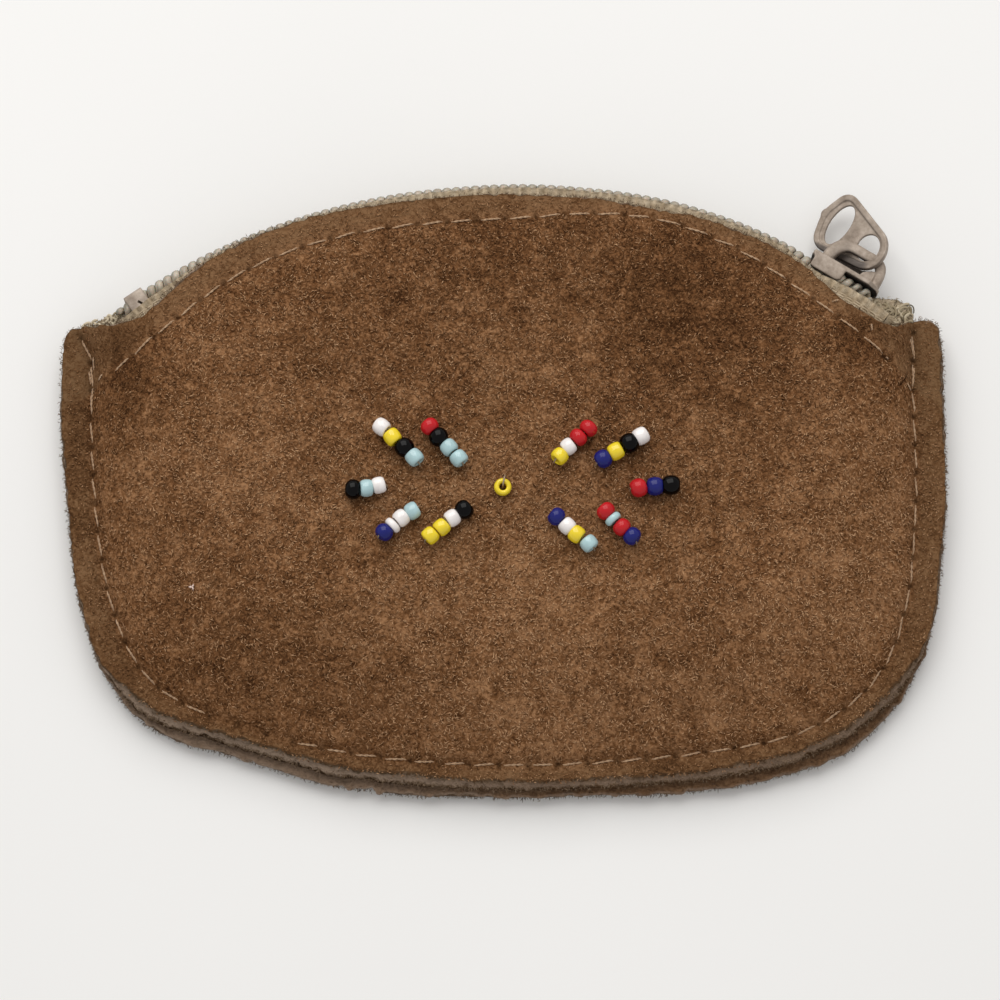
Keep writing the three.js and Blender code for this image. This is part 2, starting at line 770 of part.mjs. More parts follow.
add(root, "front_panel", needleHoles(front.geometry), suede, 0.95, 0);
add(root, "back_panel", back.geometry, suede, 0.95, 0);
add(root, "zip_tape_front", tapeOn(1, front.inside), woven, 0.9, 0);
add(root, "zip_tape_back", tapeOn(-1, back.inside), woven, 0.9, 0);
add(root, "zip_coil_front", coilOn(1), woven, 0.4, 0);
add(root, "zip_coil_back", coilOn(-1), woven, 0.4, 0);
add(root, "seam_thread_front", stitches(side_seam_line, front.outside, 1), linen, 0.8, 0);
add(root, "seam_thread_back", stitches(side_seam_line, back.outside, -1), linen, 0.8, 0);
add(root, "zip_thread_front", stitches(zip_seam_line, front.outside, 1), linen, 0.8, 0);
add(root, "zip_thread_back", stitches(zip_seam_line, back.outside, -1), linen, 0.8, 0);
add(root, "zip_bobbin_front", bobbin(1, front.inside), linen, 0.8, 0);
add(root, "zip_bobbin_back", bobbin(-1, back.inside), linen, 0.8, 0);
add(root, "bead_thread", threadAlong(bead_path, bead_thread_radius, 4), 0xded6c8, 0.5, 0);
for (const [name, geometry, colour] of beads) add(root, name, geometry, glass[colour], 0.15, 0);

const stop_place = new THREE.Group();
const stop_angle = -zipAngle(stop_share);
stop_place.position.copy(onZip(stop_angle, 0, zip_z));
stop_place.rotation.z = -stop_angle;
add(stop_place, "zip_bottom_stop", bottomStop(), pewter, 0.35, 1);
root.add(stop_place);

const slider_place = new THREE.Group();
slider_place.position.copy(onZip(slider_angle, 0, zip_z));
slider_place.rotation.z = -slider_angle;
add(slider_place, "slider_body", sliderBody(), pewter, 0.35, 1);
add(slider_place, "slider_crown", sliderCrown(), pewter, 0.35, 1);
root.add(slider_place);

const tab_place = new THREE.Group();
tab_place.position.set(tab_along, bar_height + tab_drop, 0);
const tilt = new THREE.Quaternion().setFromAxisAngle(new THREE.Vector3(0, 1, 0), -radians(tab_tilt));
const turn = new THREE.Quaternion().setFromAxisAngle(new THREE.Vector3(0, 0, 1), Math.PI - radians(tab_turn));
tab_place.quaternion.copy(tilt.multiply(turn));
add(tab_place, "pull_tab", pullTab(), pewter, 0.35, 1);
slider_place.add(tab_place);

export default root;
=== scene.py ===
# %% [markdown]
# # A beaded suede coin purse
# The purse lies on its back under soft light. The frame that is loaded here has the real sizes and the
# moving bodies: the purse, the zip's slider and its pull tab. Every piece below is a better looking version
# of one of the frame's nodes, or a detail of one, in the same place, and rides on the same body.

# %% Load the frame
import math
import bpy
import numpy as np
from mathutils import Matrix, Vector


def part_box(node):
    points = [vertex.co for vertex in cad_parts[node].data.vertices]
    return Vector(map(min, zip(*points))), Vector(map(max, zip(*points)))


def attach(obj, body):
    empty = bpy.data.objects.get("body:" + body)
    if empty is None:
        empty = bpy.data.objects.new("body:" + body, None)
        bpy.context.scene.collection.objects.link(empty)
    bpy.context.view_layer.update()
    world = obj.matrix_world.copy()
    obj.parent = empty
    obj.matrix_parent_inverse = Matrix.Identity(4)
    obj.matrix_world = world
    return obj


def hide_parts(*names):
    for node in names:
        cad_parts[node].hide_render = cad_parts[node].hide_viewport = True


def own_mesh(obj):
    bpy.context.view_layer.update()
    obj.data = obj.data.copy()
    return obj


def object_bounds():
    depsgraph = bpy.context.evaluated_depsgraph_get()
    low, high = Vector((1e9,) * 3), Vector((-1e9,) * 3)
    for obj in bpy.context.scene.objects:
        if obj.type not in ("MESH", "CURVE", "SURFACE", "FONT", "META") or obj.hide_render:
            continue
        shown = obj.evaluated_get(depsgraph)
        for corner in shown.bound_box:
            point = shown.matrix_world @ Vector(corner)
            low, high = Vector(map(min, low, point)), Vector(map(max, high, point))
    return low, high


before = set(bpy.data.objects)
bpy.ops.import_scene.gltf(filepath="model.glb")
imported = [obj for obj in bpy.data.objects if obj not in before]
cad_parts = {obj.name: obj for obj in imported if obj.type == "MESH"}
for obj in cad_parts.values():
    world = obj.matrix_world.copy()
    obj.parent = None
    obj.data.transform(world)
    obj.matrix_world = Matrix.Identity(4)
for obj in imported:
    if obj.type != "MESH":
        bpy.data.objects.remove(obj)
frame_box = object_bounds()
chance = np.random.default_rng(11)
MM = 0.001

# %% [markdown]
# ## Camera and light
# The photograph was taken from almost straight above, a little from the bottom side of the purse, with a long
# lens. The light is a big soft window of light above and a bright room all round, so shadows are faint.

# %% Camera
camera_height_angle = 77
camera_distance = 420 * MM
camera_target = Vector((-0.235, -1.643, 4.5)) * MM
view_width = 124.29 * MM
sensor_width = 36
tilt = math.radians(90 - camera_height_angle)
bpy.ops.object.camera_add(rotation=(tilt, 0, 0))
camera = bpy.context.object
camera.location = camera_target + camera_distance * Vector((0, -math.sin(tilt), math.cos(tilt)))
camera.data.sensor_width = sensor_width
camera.data.lens = sensor_width * camera_distance / view_width
camera.data.clip_start = 0.01
bpy.context.scene.camera = camera
print("lens", round(camera.data.lens, 1))

# %% Light
bpy.context.scene.view_settings.view_transform = "Standard"
bpy.ops.object.light_add(type="AREA", location=(-0.10, 0.52, 0.62))
key = bpy.context.object
key.data.size = 0.8
key.data.energy = 4.8
key.data.color = (1.0, 0.985, 0.96)
key.rotation_euler = Vector((0.10, -0.48, -0.62)).to_track_quat("-Z", "Y").to_euler()
world = bpy.data.worlds.new("room")
bpy.context.scene.world = world
world.use_nodes = True
room = world.node_tree.nodes["Background"]
room.inputs["Color"].default_value = (1.0, 0.99, 0.975, 1)
room.inputs["Strength"].default_value = 0.55


# %% Small tools
def deselect():
    if bpy.context.object and bpy.context.object.mode != "OBJECT":
        bpy.ops.object.mode_set(mode="OBJECT")
    bpy.ops.object.select_all(action="DESELECT")


def select_only(piece):
    deselect()
    bpy.context.view_layer.objects.active = piece
    piece.select_set(True)


def points_of(piece, what="co"):
    flat = np.empty(len(piece.data.vertices) * 3)
    piece.data.vertices.foreach_get(what, flat)
    return flat.reshape(-1, 3)


def move_points(piece, points):
    piece.data.vertices.foreach_set("co", np.ascontiguousarray(points, float).ravel())
    piece.data.update()


def keep_above(piece, low):
    points = points_of(piece)
    points[:, 2] = np.maximum(points[:, 2], low)
    move_points(piece, points)


def mark(piece, name, values):
    layer = piece.data.attributes.new(name, "FLOAT", "POINT")
    values = np.broadcast_to(values, len(piece.data.vertices))
    layer.data.foreach_set("value", np.ascontiguousarray(values, np.float32))


def clean(piece, distance=1e-9):
    select_only(piece)
    bpy.ops.object.mode_set(mode="EDIT")
    bpy.ops.mesh.select_all(action="SELECT")
    bpy.ops.mesh.remove_doubles(threshold=distance)
    bpy.ops.mesh.normals_make_consistent(inside=False)
    bpy.ops.object.mode_set(mode="OBJECT")
    bpy.ops.object.shade_smooth()


# A piece made of points, in millimetres, and the faces between them.
def from_faces(name, points, faces):
    mesh = bpy.data.meshes.new(name)
    mesh.from_pydata(points * MM, [], faces)
    piece = bpy.data.objects.new(name, mesh)
    bpy.context.scene.collection.objects.link(piece)
    return piece


# A grid of cells whose corners are moved to where place(u, v) puts them, in millimetres.
def rolled_grid(name, columns, rows, place, marks=()):
    deselect()
    bpy.ops.mesh.primitive_grid_add(x_subdivisions=columns, y_subdivisions=rows, size=2, calc_uvs=True)
    piece = bpy.context.object
    piece.name = name
    flat = points_of(piece)
    u, v = (flat[:, 0] + 1) / 2, (flat[:, 1] + 1) / 2
    move_points(piece, place(u, v) * MM)
    for label, value in marks:
        mark(piece, label, value(u, v))
    clean(piece, 1e-6)
    return piece


def apply_modifiers(piece):
    select_only(piece)
    for modifier in list(piece.modifiers):
        bpy.ops.object.modifier_apply(modifier=modifier.name)


def join(pieces):
    deselect()
    for piece in pieces:
        piece.select_set(True)
    bpy.context.view_layer.objects.active = pieces[0]
    bpy.ops.object.join()
    return pieces[0]


def finish_piece(piece, body, slot, material, *nodes):
    piece.data.materials.clear()
    piece.data.materials.append(material)
    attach(piece, body)
    if nodes:
        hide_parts(*nodes)
    triangles = sum(len(p.vertices) - 2 for p in piece.data.polygons)
    print(piece.name, "triangles", triangles)


# %% [markdown]
# ## Materials
# Each finish is built from nodes on the Principled shader. Patterns read Object coordinates, which are metres
# in the purse's own frame, so a noise with a scale of 1000 has grains of about a millimetre. Image
# textures could do the same, but nodes need no files and stay sharp from near by. Small helpers add a node
# and link it, so that each finish below reads as a short recipe.


# %% Node tools
def new_material(name):
    material = bpy.data.materials.new(name)
    material.use_nodes = True
    return material, material.node_tree, material.node_tree.nodes["Principled BSDF"]


def node(tree, kind, **values):
    made = tree.nodes.new(kind)
    for label, value in values.items():
        setattr(made, label, value)
    return made


# Fill an input with a number, a colour or what another node gives.
def feed(tree, socket, value):
    if isinstance(value, (int, float)):
        socket.default_value = value
    elif isinstance(value, tuple):
        socket.default_value = (*value, 1)
    else:
        tree.links.new(value, socket)


def noise(tree, scale, detail, rough=0.5, distortion=0.0):
    made = node(tree, "ShaderNodeTexNoise")
    values = {"Scale": scale, "Detail": detail, "Roughness": rough, "Distortion": distortion}
    for label, value in values.items():
        made.inputs[label].default_value = value
    tree.links.new(node(tree, "ShaderNodeTexCoord").outputs["Object"], made.inputs["Vector"])
    return made.outputs["Fac"]


def math_node(tree, operation, *values):
    made = node(tree, "ShaderNodeMath", operation=operation)
    for socket, value in zip(made.inputs, values):
        feed(tree, socket, value)
    return made.outputs[0]


def weighted(tree, *parts):
    shares = [math_node(tree, "MULTIPLY", value, weight) for value, weight in parts]
    total = shares[0]
    for share in shares[1:]:
        total = math_node(tree, "ADD", total, share)
    return total


def ramp(tree, value, stops):
    made = node(tree, "ShaderNodeValToRGB")
    elements = made.color_ramp.elements
    while len(elements) < len(stops):
        elements.new(0.5)
    for element, (at, colour) in zip(elements, stops):
        element.position = at
        element.color = (*colour, 1)
    tree.links.new(value, made.inputs[0])
    return made.outputs[0]


def mix(tree, share, a, b):
    made = node(tree, "ShaderNodeMix", data_type="RGBA")
    for index, value in ((0, share), (6, a), (7, b)):
        feed(tree, made.inputs[index], value)
    return made.outputs[2]


def bump(tree, shader, height, strength, distance):
    made = node(tree, "ShaderNodeBump")
    made.inputs["Strength"].default_value = strength
    made.inputs["Distance"].default_value = distance
    tree.links.new(height, made.inputs["Height"])
    tree.links.new(made.outputs["Normal"], shader.inputs["Normal"])


def attribute(tree, name):
    return node(tree, "ShaderNodeAttribute", attribute_name=name).outputs["Fac"]


def finish(tree, shader, colour, roughness, specular=0.5):
    tree.links.new(colour, shader.inputs["Base Color"])
    feed(tree, shader.inputs["Roughness"], roughness)
    shader.inputs["Specular IOR Level"].default_value = specular


# %% [markdown]
# ## Suede and its fibres
# Suede is the inner side of a hide, brushed to a soft nap that hardly shines. Noises of four sizes are added
# for its blotches, its mottle, its curls and its grain, and a colour ramp turns the sum into browns. Marks on
# the points of the mesh say where it is worn or cut, and where shade is painted in: in the needle holes,
# along the seam grooves, at the mouth's edge under the tape and in dark lines along the cut edge. Those
# places follow the seams and edges. The loose fibres take their tone from a mark of their own, so that no two
# need to be alike.

# %% Suede
suede, tree, shader = new_material("brown_suede")
blotch = noise(tree, 85, 2.5)
mottle = noise(tree, 330, 4, 0.62)
curl = noise(tree, 1100, 3, 0.6, 1.6)
grain = noise(tree, 2800, 2.5, 0.6, 0.8)
smudge = attribute(tree, "tone")
tone = weighted(tree, (blotch, 0.10), (mottle, 0.22), (curl, 0.32), (grain, 0.36), (smudge, 0.05))
nap = ramp(tree, tone, [
    (0.40, (0.056, 0.023, 0.009)), (0.5, (0.182, 0.082, 0.033)), (0.60, (0.380, 0.200, 0.096)),
])
worn = ramp(tree, tone, [
    (0.40, (0.061, 0.0285, 0.0117)), (0.5, (0.129, 0.0637, 0.0277)), (0.60, (0.195, 0.109, 0.053)),
])
# The cut edge is pale grey-brown in its middle. The dark ends of its ramp are painted shade: a soft line at
# the top of the cut and a near-black line at its foot, where the front meets the back panel.
lip_play = math_node(tree, "MULTIPLY", math_node(tree, "SUBTRACT", curl, 0.5), 0.9)
cut_colour_and_shade = ramp(tree, math_node(tree, "ADD", attribute(tree, "lip"), lip_play), [
    (0.02, (0.100, 0.055, 0.028)), (0.16, (0.075, 0.050, 0.030)), (0.36, (0.220, 0.158, 0.112)),
    (0.66, (0.340, 0.250, 0.186)), (0.84, (0.150, 0.102, 0.068)), (0.95, (0.040, 0.021, 0.010)),
])
colour = mix(tree, attribute(tree, "worn"), nap, worn)
colour = mix(tree, attribute(tree, "cut"), colour, cut_colour_and_shade)
# The near-black colour mixed in here is painted shade: in the needle holes, along the seam grooves and at the
# mouth's edge under the tape.
colour = mix(tree, attribute(tree, "painted_groove_shade"), colour, (0.014, 0.007, 0.003))
finish(tree, shader, colour, 1.0, 0.03)
bump(tree, shader, math_node(tree, "ADD", grain, curl), 0.8, 0.00026)


# %% Fibres of the nap, of the cut edges and of frayed yarn
def fibre_finish(name, dark, middle, pale, specular):
    made, tree, shader = new_material(name)
    colour = ramp(tree, attribute(tree, "tone"), [(0.0, dark), (0.5, middle), (1.0, pale)])
    finish(tree, shader, colour, 0.9, specular)
    return made


nap_fibre = fibre_finish(
    "suede_fibre", (0.066, 0.026, 0.009), (0.265, 0.129, 0.056), (0.620, 0.375, 0.205), 0.05,
)
edge_fibre = fibre_finish(
    "cut_edge_fibre", (0.045, 0.026, 0.014), (0.150, 0.098, 0.060), (0.36, 0.265, 0.180), 0.05,
)
yarn_finish = fibre_finish(
    "frayed_yarn", (0.100, 0.080, 0.040), (0.29, 0.230, 0.142), (0.60, 0.510, 0.370), 0.5,
)

# %% [markdown]
# ## Threads and lint
# The seams are sewn with a tan thread, the beads with a finer one, and a pale scrap of lint lies on the nap.
# A fine noise in a matt colour is enough, since the shape of the plies does the rest.

# %% Sewing thread
thread_finish, tree, shader = new_material("tan_thread")
fuzz = noise(tree, 3500, 3, 0.6)
colour = ramp(tree, fuzz, [
    (0.3, (0.28, 0.160, 0.083)), (0.5, (0.45, 0.283, 0.160)), (0.7, (0.58, 0.400, 0.248)),
])
finish(tree, shader, colour, 0.62)
shader.inputs["Sheen Weight"].default_value = 0.2
bump(tree, shader, fuzz, 0.5, 0.0001)

# %% Beading thread
bead_thread_finish, tree, shader = new_material("tan_bead_thread")
colour = ramp(tree, noise(tree, 2500, 2), [(0.35, (0.26, 0.180, 0.110)), (0.65, (0.46, 0.35, 0.24))])
finish(tree, shader, colour, 0.45)

# %% Lint
lint_finish, tree, shader = new_material("pale_lint")
colour = ramp(tree, noise(tree, 3000, 2), [(0.3, (0.70, 0.52, 0.44)), (0.7, (0.86, 0.68, 0.59))])
finish(tree, shader, colour, 0.8)

# %% [markdown]
# ## Zip tape, coil and metal
# The tape is a coarse weave, the coil is slightly clear nylon, and the slider is tarnished pewter. The weave
# could be modelled yarn by yarn, but at this size two crossed waves with a bump are enough, and light. Shade
# is painted in as a mark on the mesh, because it falls where the shapes meet and under them: between and on
# top of the coil's loops, and under and behind the slider's crown, in its channel and on faces turned down.

# %% Woven zip tape
# The weave reads the tape's own UV map: a sine along u, one along v, and their product for the crossings.
tape_finish, tree, shader = new_material("woven_tape")
split = node(tree, "ShaderNodeSeparateXYZ")
tree.links.new(node(tree, "ShaderNodeTexCoord").outputs["UV"], split.inputs[0])
ribs, rows = [
    math_node(tree, "SINE", math_node(tree, "MULTIPLY", split.outputs[i], 2 * math.pi * count))
    for i, count in ((0, 190), (1, 46))
]
weave = math_node(tree, "MULTIPLY", math_node(tree, "MULTIPLY", ribs, rows), 0.22)
yarn = math_node(tree, "ADD", weave, noise(tree, 1400, 3, 0.6))
colour = ramp(tree, yarn, [
    (0.2, (0.185, 0.132, 0.072)), (0.5, (0.41, 0.315, 0.205)), (0.8, (0.64, 0.53, 0.38)),
])
finish(tree, shader, colour, 0.9)
bump(tree, shader, yarn, 0.8, 0.00012)

# %% Nylon coil
coil_finish, tree, shader = new_material("nylon_coil")
nylon = ramp(tree, noise(tree, 700, 3), [(0.3, (0.38, 0.318, 0.240)), (0.7, (0.62, 0.540, 0.435))])
# The dark colour mixed in by the mark is painted shade between the coil's loops, on their tops and on the
# parted loops.
finish(tree, shader, mix(tree, attribute(tree, "painted_shade"), nylon, (0.165, 0.155, 0.120)), 0.34)
shader.inputs["Subsurface Weight"].default_value = 0.15
shader.inputs["Subsurface Scale"].default_value = 0.0004

# %% Pewter metal of the slider, tab and stop
metal_finish, tree, shader = new_material("pewter_metal")
tarnish = noise(tree, 480, 5, 0.65)
rub = noise(tree, 2200, 3, 0.6)
patina = weighted(tree, (tarnish, 0.7), (rub, 0.3))
pewter = ramp(tree, patina, [
    (0.34, (0.218, 0.170, 0.132)), (0.5, (0.330, 0.268, 0.217)), (0.66, (0.435, 0.365, 0.305)),
])
dull = ramp(tree, patina, [(0.35, (0.62, 0.62, 0.62)), (0.65, (0.48, 0.48, 0.48))])
# Where the mark is high the pewter turns nearly black: painted shade under and behind the crown, in the
# slider's channel and on faces turned down towards the zip.
finish(tree, shader, mix(tree, attribute(tree, "painted_shade"), pewter, (0.040, 0.035, 0.036)), dull)
shader.inputs["Metallic"].default_value = 0.45
bump(tree, shader, rub, 0.12, 0.0001)

# %% [markdown]
# ## Bead glass
# The beads are coloured glass that light hardly enters, so a plain colour with a low roughness is enough, and
# the pale ones have a thin coat besides. One loop makes all six colours.

# %% Glass of the beads
glass_colours = {
    "white": (0.98, 0.93, 0.91),
    "yellow": (0.96, 0.73, 0.025),
    "black": (0.0012, 0.0009, 0.0012),
    "paleblue": (0.46, 0.66, 0.69),
    "red": (0.56, 0.014, 0.020),
    "darkblue": (0.012, 0.016, 0.165),
}
glass_shine = {"black": 0.16, "red": 0.3, "darkblue": 0.3}
glass = {}
for name, base in glass_colours.items():
    glass[name], tree, shader = new_material("glass_" + name)
    dark = tuple(0.86 * c for c in base)
    colour = ramp(tree, noise(tree, 900, 3), [(0.3, dark), (0.6, base)])
    finish(tree, shader, colour, 0.07, glass_shine.get(name, 0.5))
    shader.inputs["Coat Weight"].default_value = 0.0 if name in glass_shine else 0.3
    shader.inputs["Coat Roughness"].default_value = 0.05
print("materials:", len(bpy.data.materials))

# %% [markdown]
# ## Floor
# A plain pale table, far larger than the view. One plane is enough, since it is only the stage.

# %% Floor
floor_finish, tree, shader = new_material("pale_table")
colour = ramp(tree, noise(tree, 8, 2), [(0.3, (0.900, 0.897, 0.890)), (0.7, (0.925, 0.922, 0.915))])
finish(tree, shader, colour, 0.7, 0.2)
deselect()
bpy.ops.mesh.primitive_plane_add(size=6, location=(0, 0, -0.00005))
floor = bpy.context.object
floor.name = "floor"
floor.data.materials.append(floor_finish)

# %% [markdown]
# ## The shape of the purse
# Two panels of suede are sewn together along the sides and the bottom. The front one rises from the seam to a
# flat top, because the zip holds the mouth open. The numbers are millimetres in the frame: x to the right, y
# to the zip. The edge and the seams are lists of points, and a smooth line through each is cut into even
# steps, so that everything that follows an edge or a seam follows the same line.

# %% Sizes
leather = 1.3
seam_height = 2.5
seam_margin = 3.6
mouth_rise = 5.5
rim_curl = 0.9
half_height = 38.85
zip_radius = 79.0
zip_centre_y = -42.15
zip_z = 5.1
ear_y = 20.0
edge_step = 0.36
stitch_pitch = 3.62
zip_drift = 3.0

# The cut edge of the front panel, from the right ear over the zip to the left ear, then down and round.
front_edge = [
    (55.2, 19.7), (55.0, 20.8), (54.5, 21.6), (53.5, 22.0), (52.4, 21.95), (51.2, 21.5), (49.7, 20.65),
    (48.2, 20.0), (46.8, 20.4), (44.6, 21.6), (42.4, 23.0), (40.8, 24.65), (37.4, 27.9), (32.3, 30.9),
    (26.0, 33.4), (19.7, 34.8), (13.6, 36.0), (7.3, 36.6), (1.7, 36.8), (-4.5, 36.6), (-9.9, 36.1),
    (-15.6, 35.3), (-21.2, 34.4), (-25.3, 33.4), (-32.6, 30.6), (-36.6, 28.3), (-39.8, 25.8), (-41.5, 24.2),
    (-42.6, 23.0), (-43.8, 21.9), (-44.9, 20.85), (-46.2, 20.4), (-48.2, 20.25), (-50.6, 20.45),
    (-52.4, 20.85), (-53.3, 20.9), (-54.0, 20.7), (-54.65, 20.2), (-55.06, 19.4), (-55.24, 18.5),
    (-55.3, 17.3), (-55.28, 14.5), (-55.2, 8.5), (-54.85, 4.5), (-54.4, 0.9), (-53.95, -3.4), (-52.6, -13.0),
    (-51.75, -16.0), (-50.4, -20.2), (-48.4, -23.9), (-45.75, -27.2), (-40.6, -30.1), (-34.2, -31.9),
    (-28.2, -33.8), (-21.1, -35.8), (-14.9, -36.7), (-5.6, -37.5), (2.6, -37.8), (10.8, -37.5), (21.8, -36.8),
    (31.9, -35.3), (39.0, -33.0), (43.3, -30.6), (48.2, -26.4), (50.7, -22.9), (52.7, -18.7), (53.6, -15.2),
    (54.5, -9.3), (55.3, -1.3), (55.4, 6.9), (55.4, 13.5), (55.4, 18.0),
]
side_seam = [
    (-53.0, 19.6), (-52.0, 17.8), (-51.5, 16.2), (-51.5, 10.9), (-51.3, 6.0), (-50.9, 0.5), (-50.3, -5.0),
    (-48.8, -13.2), (-47.6, -16.8), (-46.3, -19.9), (-44.5, -22.9), (-42.2, -25.2), (-39.5, -27.0),
    (-36.6, -28.3), (-30.0, -30.5), (-23.5, -32.3), (-16.4, -33.6), (-8.3, -34.4), (-0.6, -34.7),
    (7.8, -34.6), (15.8, -34.1), (23.9, -33.3), (34.2, -31.5), (37.9, -30.2), (40.7, -28.7), (43.4, -26.7),
    (46.3, -23.8), (48.2, -20.4), (49.6, -16.5), (50.6, -12.1), (51.4, -3.9), (51.7, 1.0), (51.6, 11.3),
    (51.8, 20.2),
]
zip_seam = [
    (-48.9, 13.9), (-46.4, 15.55), (-44.4, 17.2), (-39.0, 21.7), (-33.2, 26.1), (-26.9, 29.2), (-20.3, 31.2),
    (-13.0, 32.5), (-5.6, 33.2), (1.5, 33.6), (9.2, 34.1), (16.4, 33.9), (23.3, 32.3), (30.5, 29.0),
    (36.4, 24.9), (42.8, 20.0), (48.3, 15.6),
]


# %% Smooth lines
def smooth_step(t):
    t = np.clip(t, 0, 1)
    return t * t * (3 - 2 * t)


def run_of(line):
    return np.concatenate([[0], np.cumsum(np.linalg.norm(np.diff(line, axis=0), axis=1))])


def points_at(line, run, at):
    return np.stack([np.interp(at, run, line[:, i]) for i in range(line.shape[1])], axis=1)


# A smooth line through points, cut into even steps.
def smooth_line(points, step):
    p = np.array(points, float)
    t = np.concatenate([[0], np.cumsum(np.sqrt(np.linalg.norm(np.diff(p, axis=0), axis=1)))])
    slope = np.gradient(p, t, axis=0)
    fine = np.linspace(0, t[-1], 6000)
    k = np.clip(np.searchsorted(t, fine) - 1, 0, len(t) - 2)
    gap = (t[k + 1] - t[k])[:, None]
    s = (fine - t[k])[:, None] / gap
    line = (2 * s**3 - 3 * s**2 + 1) * p[k] + (s**3 - 2 * s**2 + s) * gap * slope[k]
    line = line + (3 * s**2 - 2 * s**3) * p[k + 1] + (s**3 - s**2) * gap * slope[k + 1]
    run = run_of(line)
    return points_at(line, run, np.linspace(0, run[-1], max(2, int(round(run[-1] / step))) + 1))


# Distance from points to a line, and which side of it they are on (above zero to its left).
def distance_to(line, x, y):
    best = np.full(x.shape, 1e9)
    side = np.ones(x.shape)
    for a, b in zip(line[:-1], line[1:]):
        d = b - a
        t = np.clip(((x - a[0]) * d[0] + (y - a[1]) * d[1]) / (d @ d), 0, 1)
        far = np.hypot(x - a[0] - t * d[0], y - a[1] - t * d[1])
        nearer = far < best
        best = np.where(nearer, far, best)
        side = np.where(nearer, np.sign(d[0] * (y - a[1]) - d[1] * (x - a[0])), side)
    return best, side


# Flat vectors turned by an angle, or each by its own.
def turned(flat, angle):
    c, s = np.cos(angle), np.sin(angle)
    return np.column_stack([flat[:, 0] * c - flat[:, 1] * s, flat[:, 0] * s + flat[:, 1] * c])


def signed_power(a, power):
    return np.sign(a) * np.abs(a) ** power


def unit_rows(vectors):
    return vectors / np.linalg.norm(vectors, axis=1)[:, None]


edge_line = smooth_line(front_edge + [front_edge[0]], edge_step)
front_line = edge_line[:-1]
side_line = smooth_line(side_seam, 1.0)
zip_line = smooth_line(zip_seam, 1.0)
seam_up = np.concatenate([side_line[:1] + [0, 30], side_line, side_line[-1:] + [0, 30]])
print("edge", len(edge_line), "points")


# %% [markdown]
# ## Height of the suede
# The front rises in a quick curve beside the zip and in a slow one above the bottom seam. The stitches pull
# the suede in, so a shallow groove follows each seam, and the free edge stands up a little outside it.
# Heights are functions of x and y, so the panels, the nap, the stitches and the beads lie on one surface.


# %% Heights
def from_seam(x, y):
    far, side = distance_to(seam_up, x, y)
    return far * np.where(side >= 0, 1, -1)


def groove(x, y):
    near_side = distance_to(side_line, x, y)[0]
    near_zip = distance_to(zip_line, x, y)[0]
    return 0.34 * np.exp(-((near_side / 0.75) ** 2)) + 0.30 * np.exp(-((near_zip / 0.75) ** 2))


def waves(x, y):
    slow = 0.16 * np.sin(0.19 * x + 0.11 * y + 0.7) + 0.13 * np.sin(-0.13 * x + 0.23 * y + 2.1)
    return slow + 0.07 * np.sin(0.47 * x - 0.31 * y + 1.2) + 0.05 * np.sin(0.33 * x + 0.58 * y)


def front_inner(x, y):
    inside = from_seam(x, y)
    low = np.clip((ear_y - y) / (ear_y + half_height), 0, 1)
    share = np.clip(inside / (6.5 + 19.5 * low), 0, 1)
    rise = mouth_rise * (1 - (1 - share) ** 2)
    flare = 0.35 * np.clip(-inside / seam_margin, 0, 1)
    return seam_height + rise + flare + waves(x, y) * smooth_step(inside / 12) * 0.9


def front_top(x, y):
    return front_inner(x, y) + leather - groove(x, y)


def back_top(x, y):
    outside = from_seam(x, y)
    inside = np.minimum(outside + seam_margin, zip_radius - np.hypot(x, y - zip_centre_y))
    return leather + rim_curl * (1 - smooth_step(inside / 9)) - 0.3 * np.clip(-outside / seam_margin, 0, 1)


def back_under(x, y):
    return np.maximum(back_top(x, y) - leather + groove(x, y), 0)


def ground(x, y):
    return float(front_top(np.array([x]), np.array([y]))[0])


# %% [markdown]
# ## The two suede panels
# A panel is made from one flat grid. Its rows run from the middle of the outer face to the cut edge, over the
# thickness of the leather and back to the middle of the inner face, so the result is a closed sheet. The cut
# is rough, and at the bottom it slants, so that the pale inside of the hide shows from above. A cloth
# simulation could drape the panels, but it would move the outline, so the heights place the rows.


# %% Panel builder
def ways_in(line):
    ahead = np.roll(line, -1, axis=0) - line
    normal = np.stack([-ahead[:, 1], ahead[:, 0]], axis=1)
    middle = line + ahead / 2
    ways = np.empty_like(line)
    for i, p in enumerate(line):
        weight = np.maximum(0, 1 - np.linalg.norm(middle - p, axis=1) / 7)
        ways[i] = (normal * weight[:, None]).sum(axis=0)
    return unit_rows(ways)


def ragged(count, length, size, seed):
    steps = max(8, int(length))
    knots = np.random.default_rng(seed).normal(0, size, steps)
    at = np.linspace(0, steps, count, endpoint=False)
    low = at.astype(int)
    t = smooth_step(at - low)
    return knots[low % steps] * (1 - t) + knots[(low + 1) % steps] * t


outer_shares = [0, 0.1, 0.2, 0.3, 0.4, 0.5, 0.6, 0.7, 0.78, 0.85, 0.91, 0.96]
outer_insets = [
    7.5, 6.6, 5.9, 5.3, 4.9, 4.6, 4.3, 4.05, 3.85, 3.65, 3.45, 3.25, 3.0, 2.7, 2.3, 1.8,
    1.3, 0.8, 0.45, 0.2, 0.07, 0,
]
inner_insets = [0, 0.3, 0.7, 1.2, 1.9, 3.6, 7.5]
inner_shares = [0.85, 0.55, 0.25, 0]
panel_centre = np.array([0, -3.0])
least_slant = 0.12
flesh_lip = 0.5
cut_rows = 4


